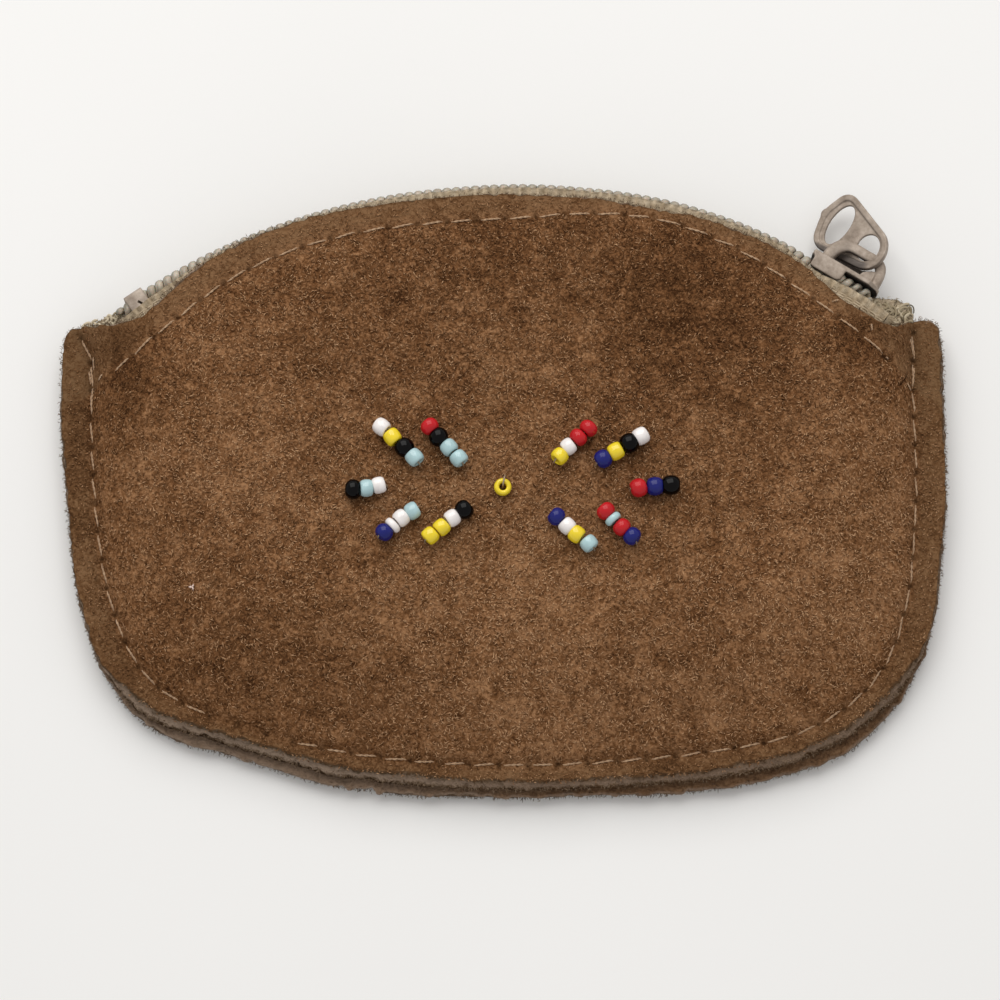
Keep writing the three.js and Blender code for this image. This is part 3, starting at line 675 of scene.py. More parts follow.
def panel(name, line, slant, outside, inside, seed, rag, last_lip):
    n = len(line)
    ways = ways_in(line)
    length = n * edge_step
    rough = ragged(n, length / 0.9, rag, seed) + ragged(n, length / 3.5, 0.08, seed + 1)
    low_edge = line + ways * rough[:, None]
    rough_top = ragged(n, length / 0.8, 0.12, seed + 2) + ragged(n, length / 6, 0.14, seed + 3)
    high_edge = line + ways * np.maximum(least_slant, slant(line) + rough_top)[:, None]
    outer_ring = high_edge + ways * outer_insets[0]
    inner_ring = low_edge + ways * inner_insets[-1]
    outer = [panel_centre + (outer_ring - panel_centre) * share for share in outer_shares]
    outer += [high_edge + ways * inset for inset in outer_insets]
    inner = [low_edge + ways * inset for inset in inner_insets]
    inner += [panel_centre + (inner_ring - panel_centre) * share for share in inner_shares]
    placed = [np.column_stack([flat, outside(*flat.T)]) for flat in outer]
    under = [np.column_stack([flat, inside(*flat.T)]) for flat in inner]
    top, bottom = placed[-1], under[0]
    for k in range(1, cut_rows + 1):
        wobble = ragged(n, length / 0.7, 0.09, seed + 10 + k)
        row = top + (bottom - top) * (k / (cut_rows + 1))
        row[:, :2] -= ways * wobble[:, None]
        row[:, 2] += 0.4 * wobble * np.sign(top[:, 2] - bottom[:, 2])
        placed.append(row)
    stack = np.array(placed + under)
    stack = np.concatenate([stack, stack[:, :1]], axis=1)
    rows = len(stack) - 1
    outer_count = len(outer)

    def place(u, v):
        return stack[np.rint(v * rows).astype(int), np.rint(u * n).astype(int)]

    def cut_mark(u, v):
        row = np.rint(v * rows)
        brown = smooth_step((place(u, v)[:, 0] + 24) / 36)
        share = np.where(row > outer_count + cut_rows, 0.72 - 0.58 * brown, 1 - 0.32 * brown)
        return np.clip(row - outer_count + 1.6, 0, 1) * share

    # How far down the cut each row lies, from 0 at its top to last_lip at its foot; the suede's ramp paints
    # shade near 0 and near 1.
    def lip_mark(u, v):
        step = np.rint(v * rows) - outer_count + 1
        lip = np.clip(step / (cut_rows + 1), 0, last_lip)
        return np.where(step > cut_rows + 1, flesh_lip, lip)

    return rolled_grid(name, n, rows, place, [("cut", cut_mark), ("lip", lip_mark)])


def front_slant(line):
    return 0.22 + 1.05 * smooth_step((-line[:, 1] - 21) / 7)


def back_slant(line):
    return np.full(len(line), least_slant)


# %% Front and back
front_suede = panel("front_suede", front_line, front_slant, front_top, front_inner, 3, 0.09, 1.0)

# The back panel is longer at the bottom and follows the arch of the zip at the top.
back_line = front_line.copy()
lower = smooth_step((-back_line[:, 1] - 23.5) / 8)
back_line[:, 1] -= (0.60 + 0.42 * smooth_step((np.abs(back_line[:, 0] - 4) - 5) / 12)) * lower
corner = smooth_step((back_line[:, 0] - 34) / 8) * smooth_step((-back_line[:, 1] - 17) / 8)
back_line += corner[:, None] * np.array([0.2, -0.42])
back_line[:, 0] += 0.12 * np.sign(back_line[:, 0]) * smooth_step((18 - back_line[:, 1]) / 5)
outside_arch = np.hypot(back_line[:, 0], back_line[:, 1] - zip_centre_y) - (zip_radius - 0.2)
on_arch = (back_line[:, 1] > 21.5) & (np.abs(back_line[:, 0]) < 45)
pull = np.where(on_arch, np.maximum(outside_arch, 0), 0)[:, None]
back_line -= pull * unit_rows(back_line - [0, zip_centre_y])
back_suede = panel("back_suede", back_line, back_slant, back_under, back_top, 40, 0.14, 0.6)


# %% [markdown]
# ## Tone of the suede
# The nap is paler where it was brushed up and darker where hands and the zip have soiled it. A few soft
# smudges set that for each point, and the margin outside the stitches is worn smooth.

# %% Tone
# Each smudge: x, y, radius, amount (below zero is darker).
smudges = [
    (-6, 27, 12, -0.35), (23, 24, 10, -0.8), (-47.5, 18.6, 3.5, -1.6), (45, 19.5, 3.5, -1.6),
    (26, 12, 14, -0.2), (-38, 6, 13, 0.4), (0, -8, 18, 0.5), (-46, 12, 6, -0.9), (44, -14, 14, 0.7),
    (2, -31, 16, 0.5), (-24, 26, 8, 0.1), (30, -28, 12, 0.3), (55, 4, 12, 0.6), (-30, -2, 12, 0.15),
]
hole_radius = 0.34
face_depth = 0.6


def tone_at(x, y):
    tone = np.zeros(x.shape)
    for cx, cy, radius, amount in smudges:
        tone += amount * np.exp(-((x - cx) ** 2 + (y - cy) ** 2) / radius**2)
    return tone


def needle_points(points, drift=0.0):
    line = smooth_line(points, 0.2)
    run = run_of(line)
    at = np.linspace(0, run[-1], int(round(run[-1] / stitch_pitch)) + 1)
    return points_at(line, run, np.minimum(at + drift * (at / run[-1]) ** 2, run[-1]))


side_holes = needle_points(side_seam)
zip_holes = needle_points(zip_seam, zip_drift)
print("needle holes:", len(side_holes), "and", len(zip_holes))


def hole_depth(x, y):
    depth = np.zeros(x.shape)
    for hx, hy in np.concatenate([side_holes, zip_holes]):
        depth = np.maximum(depth, np.exp(-((x - hx) ** 2 + (y - hy) ** 2) / hole_radius**2))
    return depth


def mark_suede(piece, outer_face, way):
    points = points_of(piece) / MM
    x, y, z = points.T
    far_side = distance_to(side_line, x, y)[0]
    far_zip, zip_side = distance_to(zip_line, x, y)
    above_zip = (zip_side > 0) & (y > 10)
    margin = smooth_step((-from_seam(x, y) + 0.2) / 1.2)
    mark(piece, "tone", tone_at(x, y) + 1.3 * above_zip)
    mark(piece, "worn", np.clip(0.85 * margin + 0.75 * above_zip * smooth_step(far_zip / 1.5), 0, 1))
    shown = outer_face(x, y, z)
    # The darkening marked below is painted shade: in the needle holes, along the seam grooves and at the
    # mouth's edge under the tape.
    deep = hole_depth(x, y) * shown
    grooved = np.exp(-((far_side / 0.8) ** 2)) + np.exp(-((far_zip / 0.8) ** 2))
    at_mouth = (y > 21.5) & (np.abs(x) < 44) & shown & (way < 0)
    shade_under_tape = 0.34 * np.exp(-((distance_to(edge_line[::3], x, y)[0] / 0.4) ** 2)) * at_mouth
    mark(piece, "painted_groove_shade", np.clip(0.62 * deep + 0.16 * grooved * shown + shade_under_tape, 0, 0.95))
    points[:, 2] = np.maximum(z + way * 0.3 * deep, 0)
    move_points(piece, points * MM)


mark_suede(front_suede, lambda x, y, z: z > front_inner(x, y) + face_depth, -1)
mark_suede(back_suede, lambda x, y, z: z < back_top(x, y) - face_depth, 1)
finish_piece(front_suede, "purse", "suede", suede, "front_panel")
finish_piece(back_suede, "purse", "suede", suede, "back_panel")


# The flat area inside an outline, in square metres, and the width and length of the leather it is cut from.
def flat_cut(line):
    ahead = np.roll(line, -1, axis=0)
    area = abs((line[:, 0] * ahead[:, 1] - line[:, 1] * ahead[:, 0]).sum()) / 2
    width, length = line.max(axis=0) - line.min(axis=0)
    print("cut from", round(width, 1), "by", round(length, 1), "mm, area", round(area), "square mm")
    return {"flat": (width * MM, length * MM), "area": area * MM * MM}


flat_cut(front_line)
flat_cut(back_line)

# %% [markdown]
# ## Nap
# Suede is a felt of short broken fibres. Each fibre here is a tiny bent spindle of five points: its two ends
# and three round its middle. Thousands of them make one mesh, lying nearly flat on the leather and turned
# every way. Hair would be the usual tool, but it is no mesh, and a mesh can be taken along with the part.

# %% Spindles
spindle_faces = np.array([[0, 1, 2], [0, 2, 3], [0, 3, 1], [4, 2, 1], [4, 3, 2], [4, 1, 3]])


def upright(count):
    return np.tile([0.0, 0.0, 1.0], (count, 1))


def fibres(name, roots, ups, headings, lengths, radii, lean, bends, tones):
    count = len(roots)
    flat = unit_rows(headings - ups * (headings * ups).sum(axis=1)[:, None])
    across = np.cross(ups, flat)
    reach = flat * np.cos(lean)[:, None] + ups * np.sin(lean)[:, None]
    rise = np.cross(reach, across)
    rise *= np.sign((rise * ups).sum(axis=1))[:, None]
    middle = roots + reach * (0.5 * lengths)[:, None] + across * (bends * lengths)[:, None]
    middle = middle + rise * (0.12 * lengths)[:, None]
    points = np.empty((count, 5, 3))
    points[:, 0] = roots
    points[:, 4] = roots + reach * lengths[:, None]
    for k in range(3):
        turn = 2 * math.pi * k / 3 + 0.5
        spread = across * math.cos(turn) + rise * math.sin(turn)
        points[:, k + 1] = middle + spread * radii[:, None]
    triangles = (spindle_faces[None] + 5 * np.arange(count)[:, None, None]).reshape(-1, 3)
    piece = from_faces(name, points.reshape(-1, 3), triangles)
    mark(piece, "tone", np.repeat(tones, 5))
    clean(piece)
    return piece


# %% Lay the nap
def random_in_outline(count, line, generator):
    found = np.empty((0, 2))
    corners = line[::6]
    while len(found) < count:
        p = generator.uniform([-55.5, -39], [55.5, 37], (count, 2))
        crossing = np.zeros(len(p), int)
        for (ax, ay), (bx, by) in zip(corners, np.roll(corners, -1, axis=0)):
            between = (ay > p[:, 1]) != (by > p[:, 1])
            at = ax + (p[:, 1] - ay) * (bx - ax) / (by - ay if by != ay else 1e-9)
            crossing += between & (p[:, 0] < at)
        found = np.concatenate([found, p[crossing % 2 == 1]])
    return found[:count]


def slopes(height, x, y, step=0.15):
    dx = (height(x + step, y) - height(x - step, y)) / (2 * step)
    dy = (height(x, y + step) - height(x, y - step)) / (2 * step)
    return unit_rows(np.column_stack([-dx, -dy, np.ones(len(x))]))


# A random field of soft patches: ten waves that cross each other.
def field(x, y, scale, seed):
    g = np.random.default_rng(seed)
    total = np.zeros(x.shape)
    for _ in range(10):
        a = g.uniform(0, 2 * math.pi)
        f = scale * g.uniform(0.6, 1.6)
        total += np.sin(f * (math.cos(a) * x + math.sin(a) * y) + g.uniform(0, 6.28))
    return total / math.sqrt(5)


def lay_nap(name, count, line, height, up_way, seed, pale):
    g = np.random.default_rng(seed)
    x, y = random_in_outline(count, line, g).T
    inside = from_seam(x, y)
    far_zip, zip_side = distance_to(zip_line, x, y)
    above_zip = (zip_side > 0) & (y > 10)
    keep = (inside > 0.4) | (g.random(len(x)) < 0.75)
    keep &= (distance_to(side_line, x, y)[0] > 0.3) & (far_zip > 0.3)
    keep &= ~above_zip | (g.random(len(x)) < 0.55)
    keep &= distance_to(line[::3], x, y)[0] > 0.75
    x, y, margin, strip = x[keep], y[keep], inside[keep] < 0.4, above_zip[keep]
    n = len(x)
    up = slopes(height, x, y) * up_way
    angle = 1.2 * field(x, y, 0.35, seed + 1) + g.normal(0, 1.1, n)
    heading = np.column_stack([np.cos(angle), np.sin(angle), np.zeros(n)])
    lengths = g.uniform(0.34, 0.82, n) * np.where(margin, 0.7, 1.0)
    radii = g.uniform(0.042, 0.072, n)
    patch = 0.5 * field(x, y, 0.9, seed + 2) + 0.4 * field(x, y, 2.6, seed + 3)
    tones = np.clip(pale + 0.13 * patch + 0.30 * tone_at(x, y) + g.normal(0, 0.23, n), 0, 1)
    tones *= np.where(margin, 0.84, 1.0)
    tones = np.where(strip, 0.54 + 0.5 * (tones - 0.48), tones)
    roots = np.column_stack([x, y, height(x, y)]) + up * 0.02
    lean = g.uniform(0.02, 0.22, n)
    bends = g.normal(0, 0.16, n)
    return fibres(name, roots, up, heading, lengths, radii, lean, bends, tones)


nap_count = 31000
front_nap = lay_nap("front_nap", nap_count, front_line, front_top, 1, 21, 0.56)
front_nap_under = lay_nap("front_nap_under", nap_count, front_line, front_top, 1, 31, 0.46)
back_nap = lay_nap("back_nap", nap_count // 2, back_line, back_under, -1, 51, 0.45)
keep_above(back_nap, 0)
for piece in (front_nap, front_nap_under, back_nap):
    finish_piece(piece, "purse", "suede", nap_fibre)


# %% [markdown]
# ## Fuzz of the cut edges
# Short hairs stick out of the cut edge of each panel. They are spindles too, turned outwards, and they are
# kept within the frame's box and a little room round it.

# %% Edge fuzz
fuzz_room = 0.4 * MM


def edge_fuzz(name, count, line, height, seed):
    g = np.random.default_rng(seed)
    ways = ways_in(line)
    pick = g.integers(0, len(line), count)
    p = line[pick] + ways[pick] * g.uniform(-0.02, 0.5, count)[:, None]
    z = height(*p.T) + g.uniform(-0.1, 1.0, count) * leather
    heading = np.column_stack([turned(-ways[pick], g.normal(0, 0.9, count)), np.zeros(count)])
    lengths = g.uniform(0.2, 0.65, count)
    lean = g.normal(0, 0.3, count)
    tones = np.clip(g.normal(0.45, 0.2, count), 0, 1)
    radii = g.uniform(0.03, 0.06, count)
    bends = g.normal(0, 0.2, count)
    piece = fibres(name, np.column_stack([p, z]), upright(count), heading, lengths, radii, lean, bends, tones)
    keep_above(piece, 0)
    low, high = np.array(frame_box)
    move_points(piece, np.clip(points_of(piece), low - fuzz_room, high + fuzz_room))
    return piece


fuzz_count = 6000
for piece in (
    edge_fuzz("front_fuzz", fuzz_count, front_line, front_inner, 61),
    edge_fuzz("back_fuzz", fuzz_count, back_line, back_under, 62),
):
    finish_piece(piece, "purse", "suede", edge_fibre)

# %% [markdown]
# ## Stitches
# The purse is sewn on a machine with a two-ply thread. Between two needle holes the thread lies on the suede,
# and at each hole it dives in. One stitch is modelled from two twisted plies and copied along both seams. A
# bump could draw the stitches, but modelled plies catch the light and cast shadows.

# %% One stitch
ply_radius = 0.078
ply_offset = 0.058
stitch_turns = 2.3
stitch_cells = 18
stitch_slant = 4
ply_sides = 6


def stitch_ply(start):
    def place(u, v):
        t = v * 2 - 1
        around = 2 * math.pi * u
        twist = start + math.pi * stitch_turns * t
        rise = 0.21 - 0.50 * np.abs(t) ** 4
        radius = ply_radius * np.where(np.abs(t) > 0.999, 0.02, 1.0)
        across = ply_offset * np.cos(twist) + radius * np.cos(around)
        up = rise + ply_offset * np.sin(twist) + radius * np.sin(around)
        return np.column_stack([t, across, up])

    return rolled_grid("ply", ply_sides, stitch_cells, place)


ply_meshes = []
for start in (0, math.pi):
    ply = stitch_ply(start)
    ply_meshes.append((points_of(ply) / MM, [list(p.vertices) for p in ply.data.polygons]))
    bpy.data.objects.remove(ply)


# %% Sew the seams
def sew(name, ends, height, way):
    points, faces = [], []
    total = 0
    for a, b in ends:
        a, b = np.array(a), np.array(b)
        along = b - a
        length = np.linalg.norm(along)
        angle = math.atan2(along[1], along[0]) + math.radians(stitch_slant + 2.0 * chance.normal())
        along = np.array([math.cos(angle), math.sin(angle)])
        across = np.array([-along[1], along[0]])
        reach = 0.5 * length - 0.22 + 0.06 * chance.normal()
        for shape, ply_faces in ply_meshes:
            flat = (a + b) / 2 + shape[:, :1] * reach * along + shape[:, 1:2] * across
            points.append(np.column_stack([flat, height(*flat.T) + way * shape[:, 2]]))
            faces.extend([[i + total for i in f] for f in ply_faces])
            total += len(shape)
    piece = from_faces(name, np.concatenate(points), faces)
    clean(piece)
    return piece


def pairs(points):
    return list(zip(points[:-1], points[1:]))


# Short stitches that lock the ends of the seams, and loose ones at the mouth.
back_tacks = [
    ((-51.35, 17.3), (-51.3, 14.9)), ((-51.85, 15.6), (-51.6, 13.0)), ((-51.3, 13.3), (-51.5, 10.5)),
    ((51.4, 19.8), (51.9, 16.4)), ((52.0, 16.2), (51.4, 12.8)), ((50.6, 13.6), (51.4, 12.4)),
    ((-50.8, 13.3), (-49.7, 14.6)), ((40.8, 22.6), (42.3, 22.8)), ((46.0, 20.1), (45.95, 18.6)),
]


# At the lower left a few stitches are sunk out of sight.
def is_buried(a, b):
    x, y = (a + b) / 2
    return -35.5 < x < -24.5 and y < -25


side_ends = [ends for ends in pairs(side_holes) if not is_buried(*ends)]
thread_sink = 0.10


def surface_front(x, y):
    return front_top(x, y) - thread_sink


def surface_back(x, y):
    return back_under(x, y) + thread_sink


for name, ends, surface, way, stands_for in (
    ("side_stitches", side_ends + back_tacks, surface_front, 1, "seam_thread_front"),
    ("zip_stitches", pairs(zip_holes), surface_front, 1, "zip_thread_front"),
    ("side_stitches_back", pairs(side_holes), surface_back, -0.6, "seam_thread_back"),
    ("zip_stitches_back", pairs(zip_holes), surface_back, -0.6, "zip_thread_back"),
):
    piece = sew(name, ends, surface, way)
    keep_above(piece, 0.00002)
    finish_piece(piece, "purse", "sewing_thread", thread_finish, stands_for)


# %% [markdown]
# ## Lines along the zip
# The zip is an arch about a centre below the purse. Its chain doesn't follow the arch exactly: right of the
# middle it stands out further. A tube is a rolled grid whose rows are rings round a path, and it makes the
# threads, the yarns and the coils.


# %% Zip lines and tubes
def zip_point(angle, above, z):
    r = zip_radius + above
    return np.column_stack([r * np.sin(angle), zip_centre_y + r * np.cos(angle), z + 0 * angle])


def share_angle(share):
    return math.asin(share * 55.7 / zip_radius)


lift_x = [-47, -45.8, -44.8, -43, -36, -30, -5, 2, 10, 17.5, 22, 29, 35, 37.5, 39.5, 42.4, 43.6]
lift_by = [-0.25, -0.2, -0.04, -0.02, 0.04, 0, 0, 0.22, 0.40, 0.75, 0.90, 0.90, 0.72, 0.35, 0.15, 0.40, 0.55]


def chain_lift(angle):
    return np.interp(zip_radius * np.sin(angle), lift_x, lift_by)


# A tube round a path, with closed ends. It can be widened along a given direction at each point.
def tube(name, path, radius, sides=6, along=None, widen=0.0):
    path = np.array(path, float)
    radius = np.broadcast_to(radius, len(path))
    ahead = unit_rows(np.gradient(path, axis=0))
    side = np.empty_like(path)
    start = np.array([0.31, 0.57, 0.76])
    for i, way in enumerate(ahead):
        start = start - way * (start @ way)
        start /= np.linalg.norm(start)
        side[i] = start
    over = np.cross(ahead, side)
    n = len(path) - 1

    def place(u, v):
        i = np.rint(v * n).astype(int)
        turn = 2 * math.pi * u
        width = np.where((i == 0) | (i == n), 0.03, 1.0) * radius[i]
        out = side[i] * (width * np.cos(turn))[:, None] + over[i] * (width * np.sin(turn))[:, None]
        if along is not None:
            out = out + along[i] * (widen * (out * along[i]).sum(axis=1))[:, None]
        return path[i] + out

    return rolled_grid(name, sides, n, place)


# %% Bobbin threads inside the mouth
bobbin_angles = np.linspace(-share_angle(0.8), share_angle(0.8), 60)
for end in ("front", "back"):
    low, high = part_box("zip_bobbin_" + end)
    z = (low.z + high.z) / 2 / MM
    piece = tube("bobbin_" + end, zip_point(bobbin_angles, -3.5, z), 0.17)
    finish_piece(piece, "purse", "sewing_thread", thread_finish, "zip_bobbin_" + end)

# %% [markdown]
# ## Zip tapes
# Each tape is a woven strip. Its edge lies flat under the coil, and the rest is folded down inside the panel.
# One section is carried along the arch, so that the fold beside the coil is in one piece with the strip.

# %% Tapes
# The section of a tape: distance from the middle of the zip, height over the arch, share of the raised fold.
tape_section = np.array([
    (1.1, 0, 0), (1.95, 0.03, 0.08), (2.15, 0, 0.72), (2.45, 0, 1), (2.7, 0, 0.7), (2.75, -0.6, 0),
    (2.75, -4.3, 0), (2.7, -9.4, 0), (2.3, -9.4, 0), (2.3, -4.3, 0), (2.3, -0.6, 0), (2.1, -0.40, 0),
    (1.8, -0.42, 0), (1.1, -0.42, 0), (1.1, 0, 0),
])
tape_cells = 160


def tape(name, side):
    narrow, end = share_angle(0.8), share_angle(0.858)
    low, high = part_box(name)

    def place(u, v):
        wide, above, folded = tape_section[np.rint(u * (len(tape_section) - 1)).astype(int)].T
        angle = (2 * v - 1) * end
        squeeze = 1 - 0.45 * smooth_step((np.abs(angle) - narrow) / (end - narrow)) * (above < -1)
        along = zip_radius * np.sin(angle)
        fold = 0.12 + 0.93 * smooth_step((along + 46) / 13) - 0.55 * smooth_step((along - 34.5) / 3)
        ripple = 0.06 * np.sin(angle * 210) * folded
        raised = chain_lift(angle) * smooth_step((above + 2.5) / 2)
        flat = zip_point(angle, above + folded * fold + ripple + raised, 0)
        flat[:, 2] = np.clip(zip_z + side * wide * squeeze, low.z / MM, high.z / MM)
        return flat

    piece = rolled_grid(name + "_woven", len(tape_section) - 1, tape_cells, place)
    piece.modifiers.new("shading", "WEIGHTED_NORMAL")
    apply_modifiers(piece)
    finish_piece(piece, "purse", "zip_tape", tape_finish, name)


tape("zip_tape_front", 1)
tape("zip_tape_back", -1)

# %% [markdown]
# ## Loose ends of the tapes
# Past the coils the two tapes come together and stick out of the corners of the mouth, frayed. Each end is a
# lumpy woven flap between a lower line, hidden behind the leather, and an upper one, with loose yarns at its
# rim. Small loops of yarn lie on it, because the flap alone would look like felt.

# %% Tape ends
flap_columns, flap_cells, fray_count = 60, 26, 60


def even_points(points):
    line = smooth_line(points, 0.25)
    return points_at(line, np.linspace(0, 1, len(line)), np.linspace(0, 1, flap_columns + 1))


def flap(name, low, top, surface, phases):
    def place(u, v):
        i = np.rint(u * flap_columns).astype(int)
        face = np.where(v < 0.5, 1.0, -1.0)
        rise = 1 - np.abs(2 * v - 1)
        x, y = (low[i] + (top[i] - low[i]) * rise[:, None]).T
        thick = 0.28 * np.sin(math.pi * np.clip(rise, 0.04, 0.96)) ** 0.5
        thick = thick * np.sin(math.pi * np.clip(u, 0.03, 0.97)) ** 0.3
        lump = 0.20 * np.sin(2.1 * x + phases[0]) * np.sin(2.6 * y + phases[1])
        lump += 0.10 * np.sin(4.7 * x + 3.1 * y + phases[2])
        return np.column_stack([x, y, surface(x) + lump + face * thick])

    return rolled_grid(name, flap_columns, flap_cells, place)


def frayed_rim(name, low, top, surface, g):
    at = g.integers(0, flap_columns + 1, fray_count)
    out = unit_rows(top[at] - low[at])
    flat = top[at] - out * g.uniform(0.0, 1.3, fray_count)[:, None]
    roots = np.column_stack([flat, surface(flat[:, 0]) + g.uniform(-0.1, 0.4, fray_count)])
    heading = np.column_stack([turned(out, g.normal(0, 1.1, fray_count)), np.zeros(fray_count)])
    lengths, radii = g.uniform(0.25, 0.65, fray_count), g.uniform(0.04, 0.08, fray_count)
    lean, bends = g.uniform(0.0, 0.5, fray_count), g.normal(0, 0.3, fray_count)
    tones = np.clip(g.normal(0.55, 0.25, fray_count), 0, 1)
    return fibres(name, roots, upright(fray_count), heading, lengths, radii, lean, bends, tones)


def yarn_loop(name, low, top, surface, palest, g):
    i = g.integers(3, flap_columns - 2)
    middle = low[i] + (top[i] - low[i]) * g.uniform(0.25, 0.92)
    begin, sweep = g.uniform(0, 6.28), g.uniform(3.4, 5.8)
    t = begin + np.linspace(0, sweep, 16)
    lean = g.uniform(0, 3.14)
    long, short = g.uniform(0.46, 0.80), g.uniform(0.26, 0.44)
    flat = middle + turned(np.column_stack([long * np.cos(t), short * np.sin(t)]), lean)
    z = surface(flat[:, 0]) + 0.26 + 0.14 * np.sin(t + begin)
    loop = tube(name, np.column_stack([flat, z]), g.uniform(0.14, 0.20))
    mark(loop, "tone", g.uniform(palest - 0.6, palest))
    return loop


def tape_end(name, lower, upper, height, lift, seed, loop_count, palest=0.95):
    g = np.random.default_rng(seed)
    low, top = even_points(lower), even_points(upper)
    top = top + g.normal(0, 0.07, top.shape)
    phases = g.uniform(0, 6.28, 4)

    def surface(x):
        return np.interp(x, *height) + lift

    piece = flap(name, low, top, surface, phases)
    frays = frayed_rim(name + "_frays", low, top, surface, g)
    finish_piece(piece, "purse", "zip_tape", tape_finish)
    finish_piece(frays, "purse", "zip_tape", yarn_finish)
    knit = join([yarn_loop(f"{name}_loop_{k}", low, top, surface, palest, g) for k in range(loop_count)])
    knit.name = name + "_knit"
    finish_piece(knit, "purse", "zip_tape", yarn_finish)


right_height = ([43, 46, 49, 52], [5.9, 5.6, 4.4, 3.4])
left_height = ([-53, -51, -49, -46], [3.0, 3.7, 4.6, 5.6])
tape_end(
    "tape_end_right", [(42.6, 22.6), (45.4, 20.6), (48.6, 19.1), (51.2, 20.1)],
    [(43.2, 25.4), (45.3, 24.3), (47.6, 24.2), (49.8, 24.2), (51.2, 23.7), (51.8, 22.2)],
    right_height, 0.35, 71, 46,
)
tape_end(
    "tape_end_right_back", [(43.2, 22.8), (46.0, 20.8), (48.8, 19.6), (51.0, 20.2)],
    [(44.0, 24.9), (46.2, 24.3), (48.8, 24.4), (50.6, 24.0), (51.4, 22.8), (51.6, 21.4)],
    right_height, -0.45, 72, 14,
)
tape_end(
    "tape_end_left", [(-45.6, 20.2), (-47.6, 19.4), (-50.0, 19.6), (-52.3, 20.0)],
    [(-45.8, 22.3), (-47.8, 22.5), (-49.4, 22.1), (-51.2, 21.4), (-52.9, 20.9)],
    left_height, 0.1, 73, 30, 1.2,
)

# %% Stray loop and selvedge at the right end
loop_turn = np.linspace(-0.5, 3.6, 26)
loop_path = np.column_stack([
    51.3 + 0.62 * np.cos(loop_turn), 22.9 + 0.75 * np.sin(loop_turn), 4.2 + 0.2 * np.sin(2 * loop_turn),
])
finish_piece(tube("tape_end_loop", loop_path, 0.09), "purse", "zip_tape", yarn_finish)
selvedge_path = smooth_line([
    (41.4, 24.35, 7.6), (42.4, 23.45, 7.3), (44.6, 22.12, 6.8), (46.8, 21.0, 6.4), (48.1, 20.7, 5.8),
    (48.5, 20.35, 5.3),
], 0.3)
selvedge = tube("tape_selvedge", selvedge_path, 0.14)
mark(selvedge, "tone", 0.9)
finish_piece(selvedge, "purse", "zip_tape", yarn_finish)

# %% [markdown]
# ## A fleck of lint
# One scrap of pale thread is caught in the nap at the lower left. It is three thick spindles.

# %% Fleck
lint_x, lint_y = -37.95, -13.45
lint_ways = np.array([[-1.0, 0.1, 0.0], [0.45, 1.0, 0.0], [0.35, -1.0, 0.0]])
lint_roots = np.array([lint_x, lint_y, ground(lint_x, lint_y) + 0.16]) - 0.15 * lint_ways
lint_lengths, lint_radii = np.array([0.62, 0.66, 0.72]), np.array([0.20, 0.13, 0.12])
lint_leans, lint_bends = np.array([0.05, 0.1, 0.08]), np.array([0.05, -0.1, 0.1])
lint = fibres(
    "lint", lint_roots, upright(3), lint_ways, lint_lengths, lint_radii, lint_leans, lint_bends, np.ones(3),
)
finish_piece(lint, "purse", "sewing_thread", lint_finish)

# %% [markdown]
# ## Zip coils
# A nylon zip has two wound coils whose loops mesh. They part at the slider's neck, where each coil stands
# further out towards its own panel and its wire grows thinner. A curve with a round bevel could make the
# wire, but a tube can be widened along the chain, as pressed coils are.

# %% Coils
coil_pitch = 1.18
coil_cells = 14
wire = 0.43
wire_widen = 0.33
slider_angle = share_angle(0.747)
neck_angle = slider_angle + 0.3 / zip_radius


# How far points of the zip lie past the slider's neck, in millimetres along the arch.
def past_neck(angle):
    return (angle - neck_angle) * zip_radius


def coil(name, side):
    start, end = -share_angle(0.849), share_angle(0.832)
    turns = int((end - start) * zip_radius / coil_pitch)
    t = np.linspace(0, turns, turns * coil_cells + 1)
    shift = 0 if side > 0 else 0.5
    angle = start + t * coil_pitch / zip_radius
    phase = 2 * math.pi * (t + shift)
    parted = smooth_step((past_neck(angle) + 2.4) / 2.2)
    middle = 0.85 + 0.62 * parted
    wide = 0.66 - 0.16 * parted
    path = zip_point(angle, 1.04 + 0.50 * signed_power(np.sin(phase), 0.75) + chain_lift(angle), 0)
    path[:, 2] = zip_z + side * (middle + wide * signed_power(np.cos(phase), 0.8))
    chain_way = np.column_stack([np.cos(angle), -np.sin(angle), 0 * angle])
    open_end = smooth_step((past_neck(angle) - 0.3) / 1.2)
    piece = tube(name, path, wire * (1 - 0.36 * open_end), 10, chain_way, wire_widen)
    # The mark set below is painted shade: darker on the tops of the loops, in the gaps between them, and on
    # the parted loops past the slider's neck.
    x, y = points_of(piece).T[:2] / MM
    at = np.arctan2(x, y - zip_centre_y)
    above = np.hypot(x, y - zip_centre_y) - zip_radius - chain_lift(at)
    past = smooth_step((past_neck(at) - 0.3) / 1.2)
    turn = (at - start) * zip_radius / coil_pitch + shift + 0.25
    gap = smooth_step((np.abs(turn - np.floor(turn) - 0.5) - 0.26) / 0.2)
    mark(piece, "painted_shade", np.clip(0.7 * smooth_step((above - 1.35) / 0.5) + 0.7 * gap + 0.4 * past, 0, 0.92))
    return piece


for side, stands_for in ((1, "zip_coil_front"), (-1, "zip_coil_back")):
    piece = coil(stands_for + "_wound", side)
    finish_piece(piece, "purse", "zip_coil", coil_finish, stands_for)
    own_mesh(piece)

# %% [markdown]
# ## Plates
# A flat casting starts as a filled circle with as many points as its outline. The points are moved onto the
# outline, and the face is extruded to its thickness. Several plates are joined, and a voxel remesh makes one
# skin of them.


